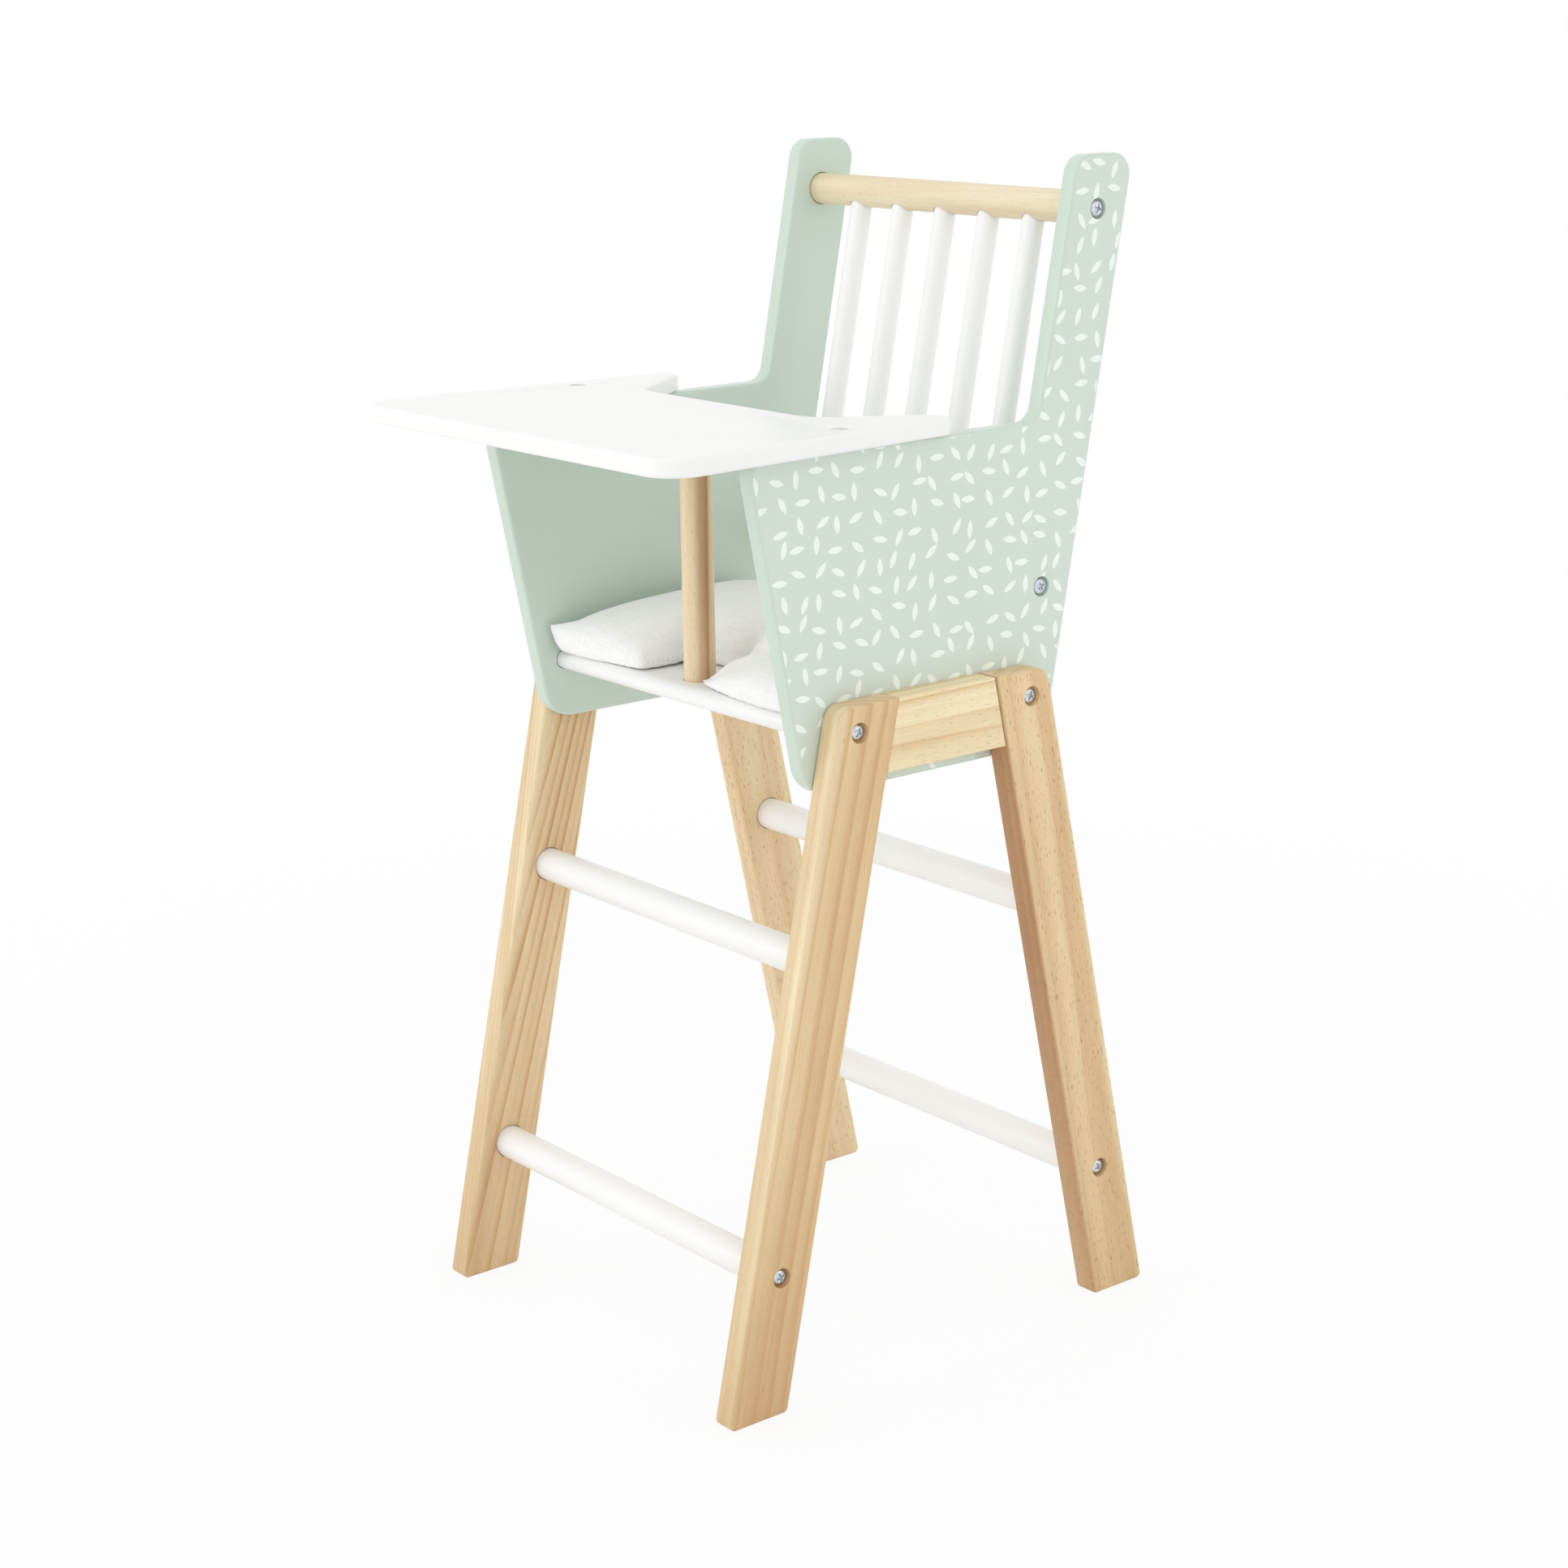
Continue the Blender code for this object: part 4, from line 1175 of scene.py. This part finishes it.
screwJobs = []
for sideName, side in sideSigns.items():
    legSeat = side * (stand["outerX"] - counterbore["leg"])
    panelSeat = side * (panel["outerX"] - counterbore["panel"])
    inward = (-side, 0, 0)
    for endName, end in endSigns.items():
        corner = f"{endName}_{sideName}"
        screwJobs.append((f"seat_screw_{corner}", (legSeat, end * seatScrewY, seat["middle"]), inward, 0))
        height = stand["rungs"]["lower"]
        place = (legSeat, end * legCentre(height), height)
        screwJobs.append((f"rung_screw_{corner}", place, inward, 0))
    for level, height in back["heights"].items():
        place = (panelSeat, uprightCentre(height), height)
        screwJobs.append((f"back_rail_screw_{level}_{sideName}", place, inward, 0))
    middleX = side * (panel["innerX"] + panel["outerX"]) / 2
    place = (middleX, -tray["screwSetback"], tray["top"] - counterbore["tray"])
    screwJobs.append((f"tray_screw_{sideName}", place, (0, 0, -1), 2))
goldenAngle = math.radians(137.5)
for i, (node, place, inward, axis) in enumerate(screwJobs):
    makeScrew(node, place, inward, screwLength(node, axis), i * goldenAngle)
print("screws made")

for node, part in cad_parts.items():
    if node.startswith("stand_pin"):
        part.data.materials.clear()
        part.data.materials.append(beechPins)


# Camera, light and floor

view = {
    "azimuth": 51.273,
    "elevation": 15.138,
    "roll": -0.783,
    "distance": 1484.95,
    "target": (-22.388, 28.7725, 247.15),
    "focal": 3743.196,  # in pixels of the 1932 pixel wide image
    "imageWidth": 1932,
    "sensor": 36,
}


def setCamera():
    azimuth, elevation, roll = (math.radians(view[key]) for key in ("azimuth", "elevation", "roll"))
    right = Vector((math.cos(azimuth), math.sin(azimuth), 0))
    level = Vector((math.sin(azimuth), -math.cos(azimuth), 0))
    away = level * math.cos(elevation) + Vector((0, 0, math.sin(elevation)))
    data = bpy.data.cameras.new("camera")
    data.sensor_width = view["sensor"]
    data.lens = view["focal"] / view["imageWidth"] * view["sensor"]
    camera = addObject("camera", data)
    target = Vector(view["target"]) * mm
    turn = Matrix((right, away.cross(right), away)).transposed() @ Matrix.Rotation(roll, 3, "Z")
    camera.matrix_world = Matrix.Translation(target + away * view["distance"] * mm) @ turn.to_4x4()
    bpy.context.scene.camera = camera


def addSoftbox(name, place, aim, side, watts):
    data = bpy.data.lights.new(name, "AREA")
    data.shape = "SQUARE"
    data.size = side
    data.energy = watts
    lamp = addObject(name, data)
    lamp.location = place
    lamp.rotation_euler = (Vector(aim) - Vector(place)).to_track_quat("-Z", "Y").to_euler()


studio = {
    "ambient": 1.02,
    "ambientColour": "FFFFFF",
    "overheadFall": 0.08,
    # Each softbox's place, the place that it faces and its side, in metres, and its watts.
    "softboxes": {
        "keySoftbox": ((-0.95, -2.1, 0.85), (0, 0, 0.3), 1.2, 7),
        "fillSoftbox": ((1.9, 1.0, 1.1), (0, 0, 0.35), 1.3, 1.5),
    },
    "floorRadius": 30.0,
    "floorColour": "F2F2F2",
    "nearGlow": 0.88,
    "glowFrom": 0.45,  # metres from the chair
    "glowTo": 1.5,
}


def clearNodes(holder):
    # Gives addNode bound to the holder's emptied tree.
    holder.use_nodes = True
    holder.node_tree.nodes.clear()
    return partial(addNode, holder.node_tree)


def seenDirectly(add):
    # One where the camera looks straight or by way of a mirror or glass, and zero for other light.
    rays = add("LightPath")
    seen = add("Math", rays["Is Camera Ray"], rays["Is Glossy Ray"], operation="MAXIMUM")[0]
    return add("Math", seen, rays["Is Transmission Ray"], operation="MAXIMUM")[0]


def setLight():
    # The surround is brighter near the horizon than overhead, as walls of white cloth are.
    world = bpy.data.worlds.new("studio")
    bpy.context.scene.world = world
    add = clearNodes(world)
    height = add("SeparateXYZ", add("TexCoord")["Generated"])["Z"]
    overhead = studio["ambient"] * (1 - studio["overheadFall"])
    strength = add("MapRange", {"Value": height, "To Min": studio["ambient"], "To Max": overhead})[0]
    ambient = add("Background", studio["ambientColour"], strength)[0]
    backdrop = add("Background", "FFFFFF", 1.0)[0]
    add("OutputWorld", add("MixShader", seenDirectly(add), ambient, backdrop)[0])
    for name, settings in studio["softboxes"].items():
        addSoftbox(name, *settings)


def setFloor():
    # A matt disc whose look blends into the white backdrop with distance, so no horizon shows.
    turn = np.arange(96) * 2 * math.pi / 96
    rim = np.stack([np.cos(turn), np.sin(turn), np.zeros(96)], -1) * studio["floorRadius"]
    mesh = bpy.data.meshes.new("floor")
    mesh.from_pydata(rim.tolist(), [], [tuple(range(96))])
    floor = addObject("floor", mesh)
    material = bpy.data.materials.new("paleFloor")
    add = clearNodes(material)
    distance = add("VectorMath", add("TexCoord")["Object"], operation="LENGTH")["Value"]
    inputs = {"Value": distance, "From Min": studio["glowFrom"], "From Max": studio["glowTo"]}
    inputs["To Min"] = studio["nearGlow"]
    fade = add("MapRange", inputs, interpolation_type="SMOOTHSTEP")[0]
    share = add("Math", seenDirectly(add), fade, operation="MULTIPLY")[0]
    matte = add("BsdfDiffuse", studio["floorColour"])[0]
    glow = add("Emission", "FFFFFF", 1.0)[0]
    add("OutputMaterial", add("MixShader", share, matte, glow)[0])
    mesh.materials.append(material)


setCamera()
setLight()
setFloor()
bpy.context.scene.view_settings.view_transform = "Standard"
print("studio set")
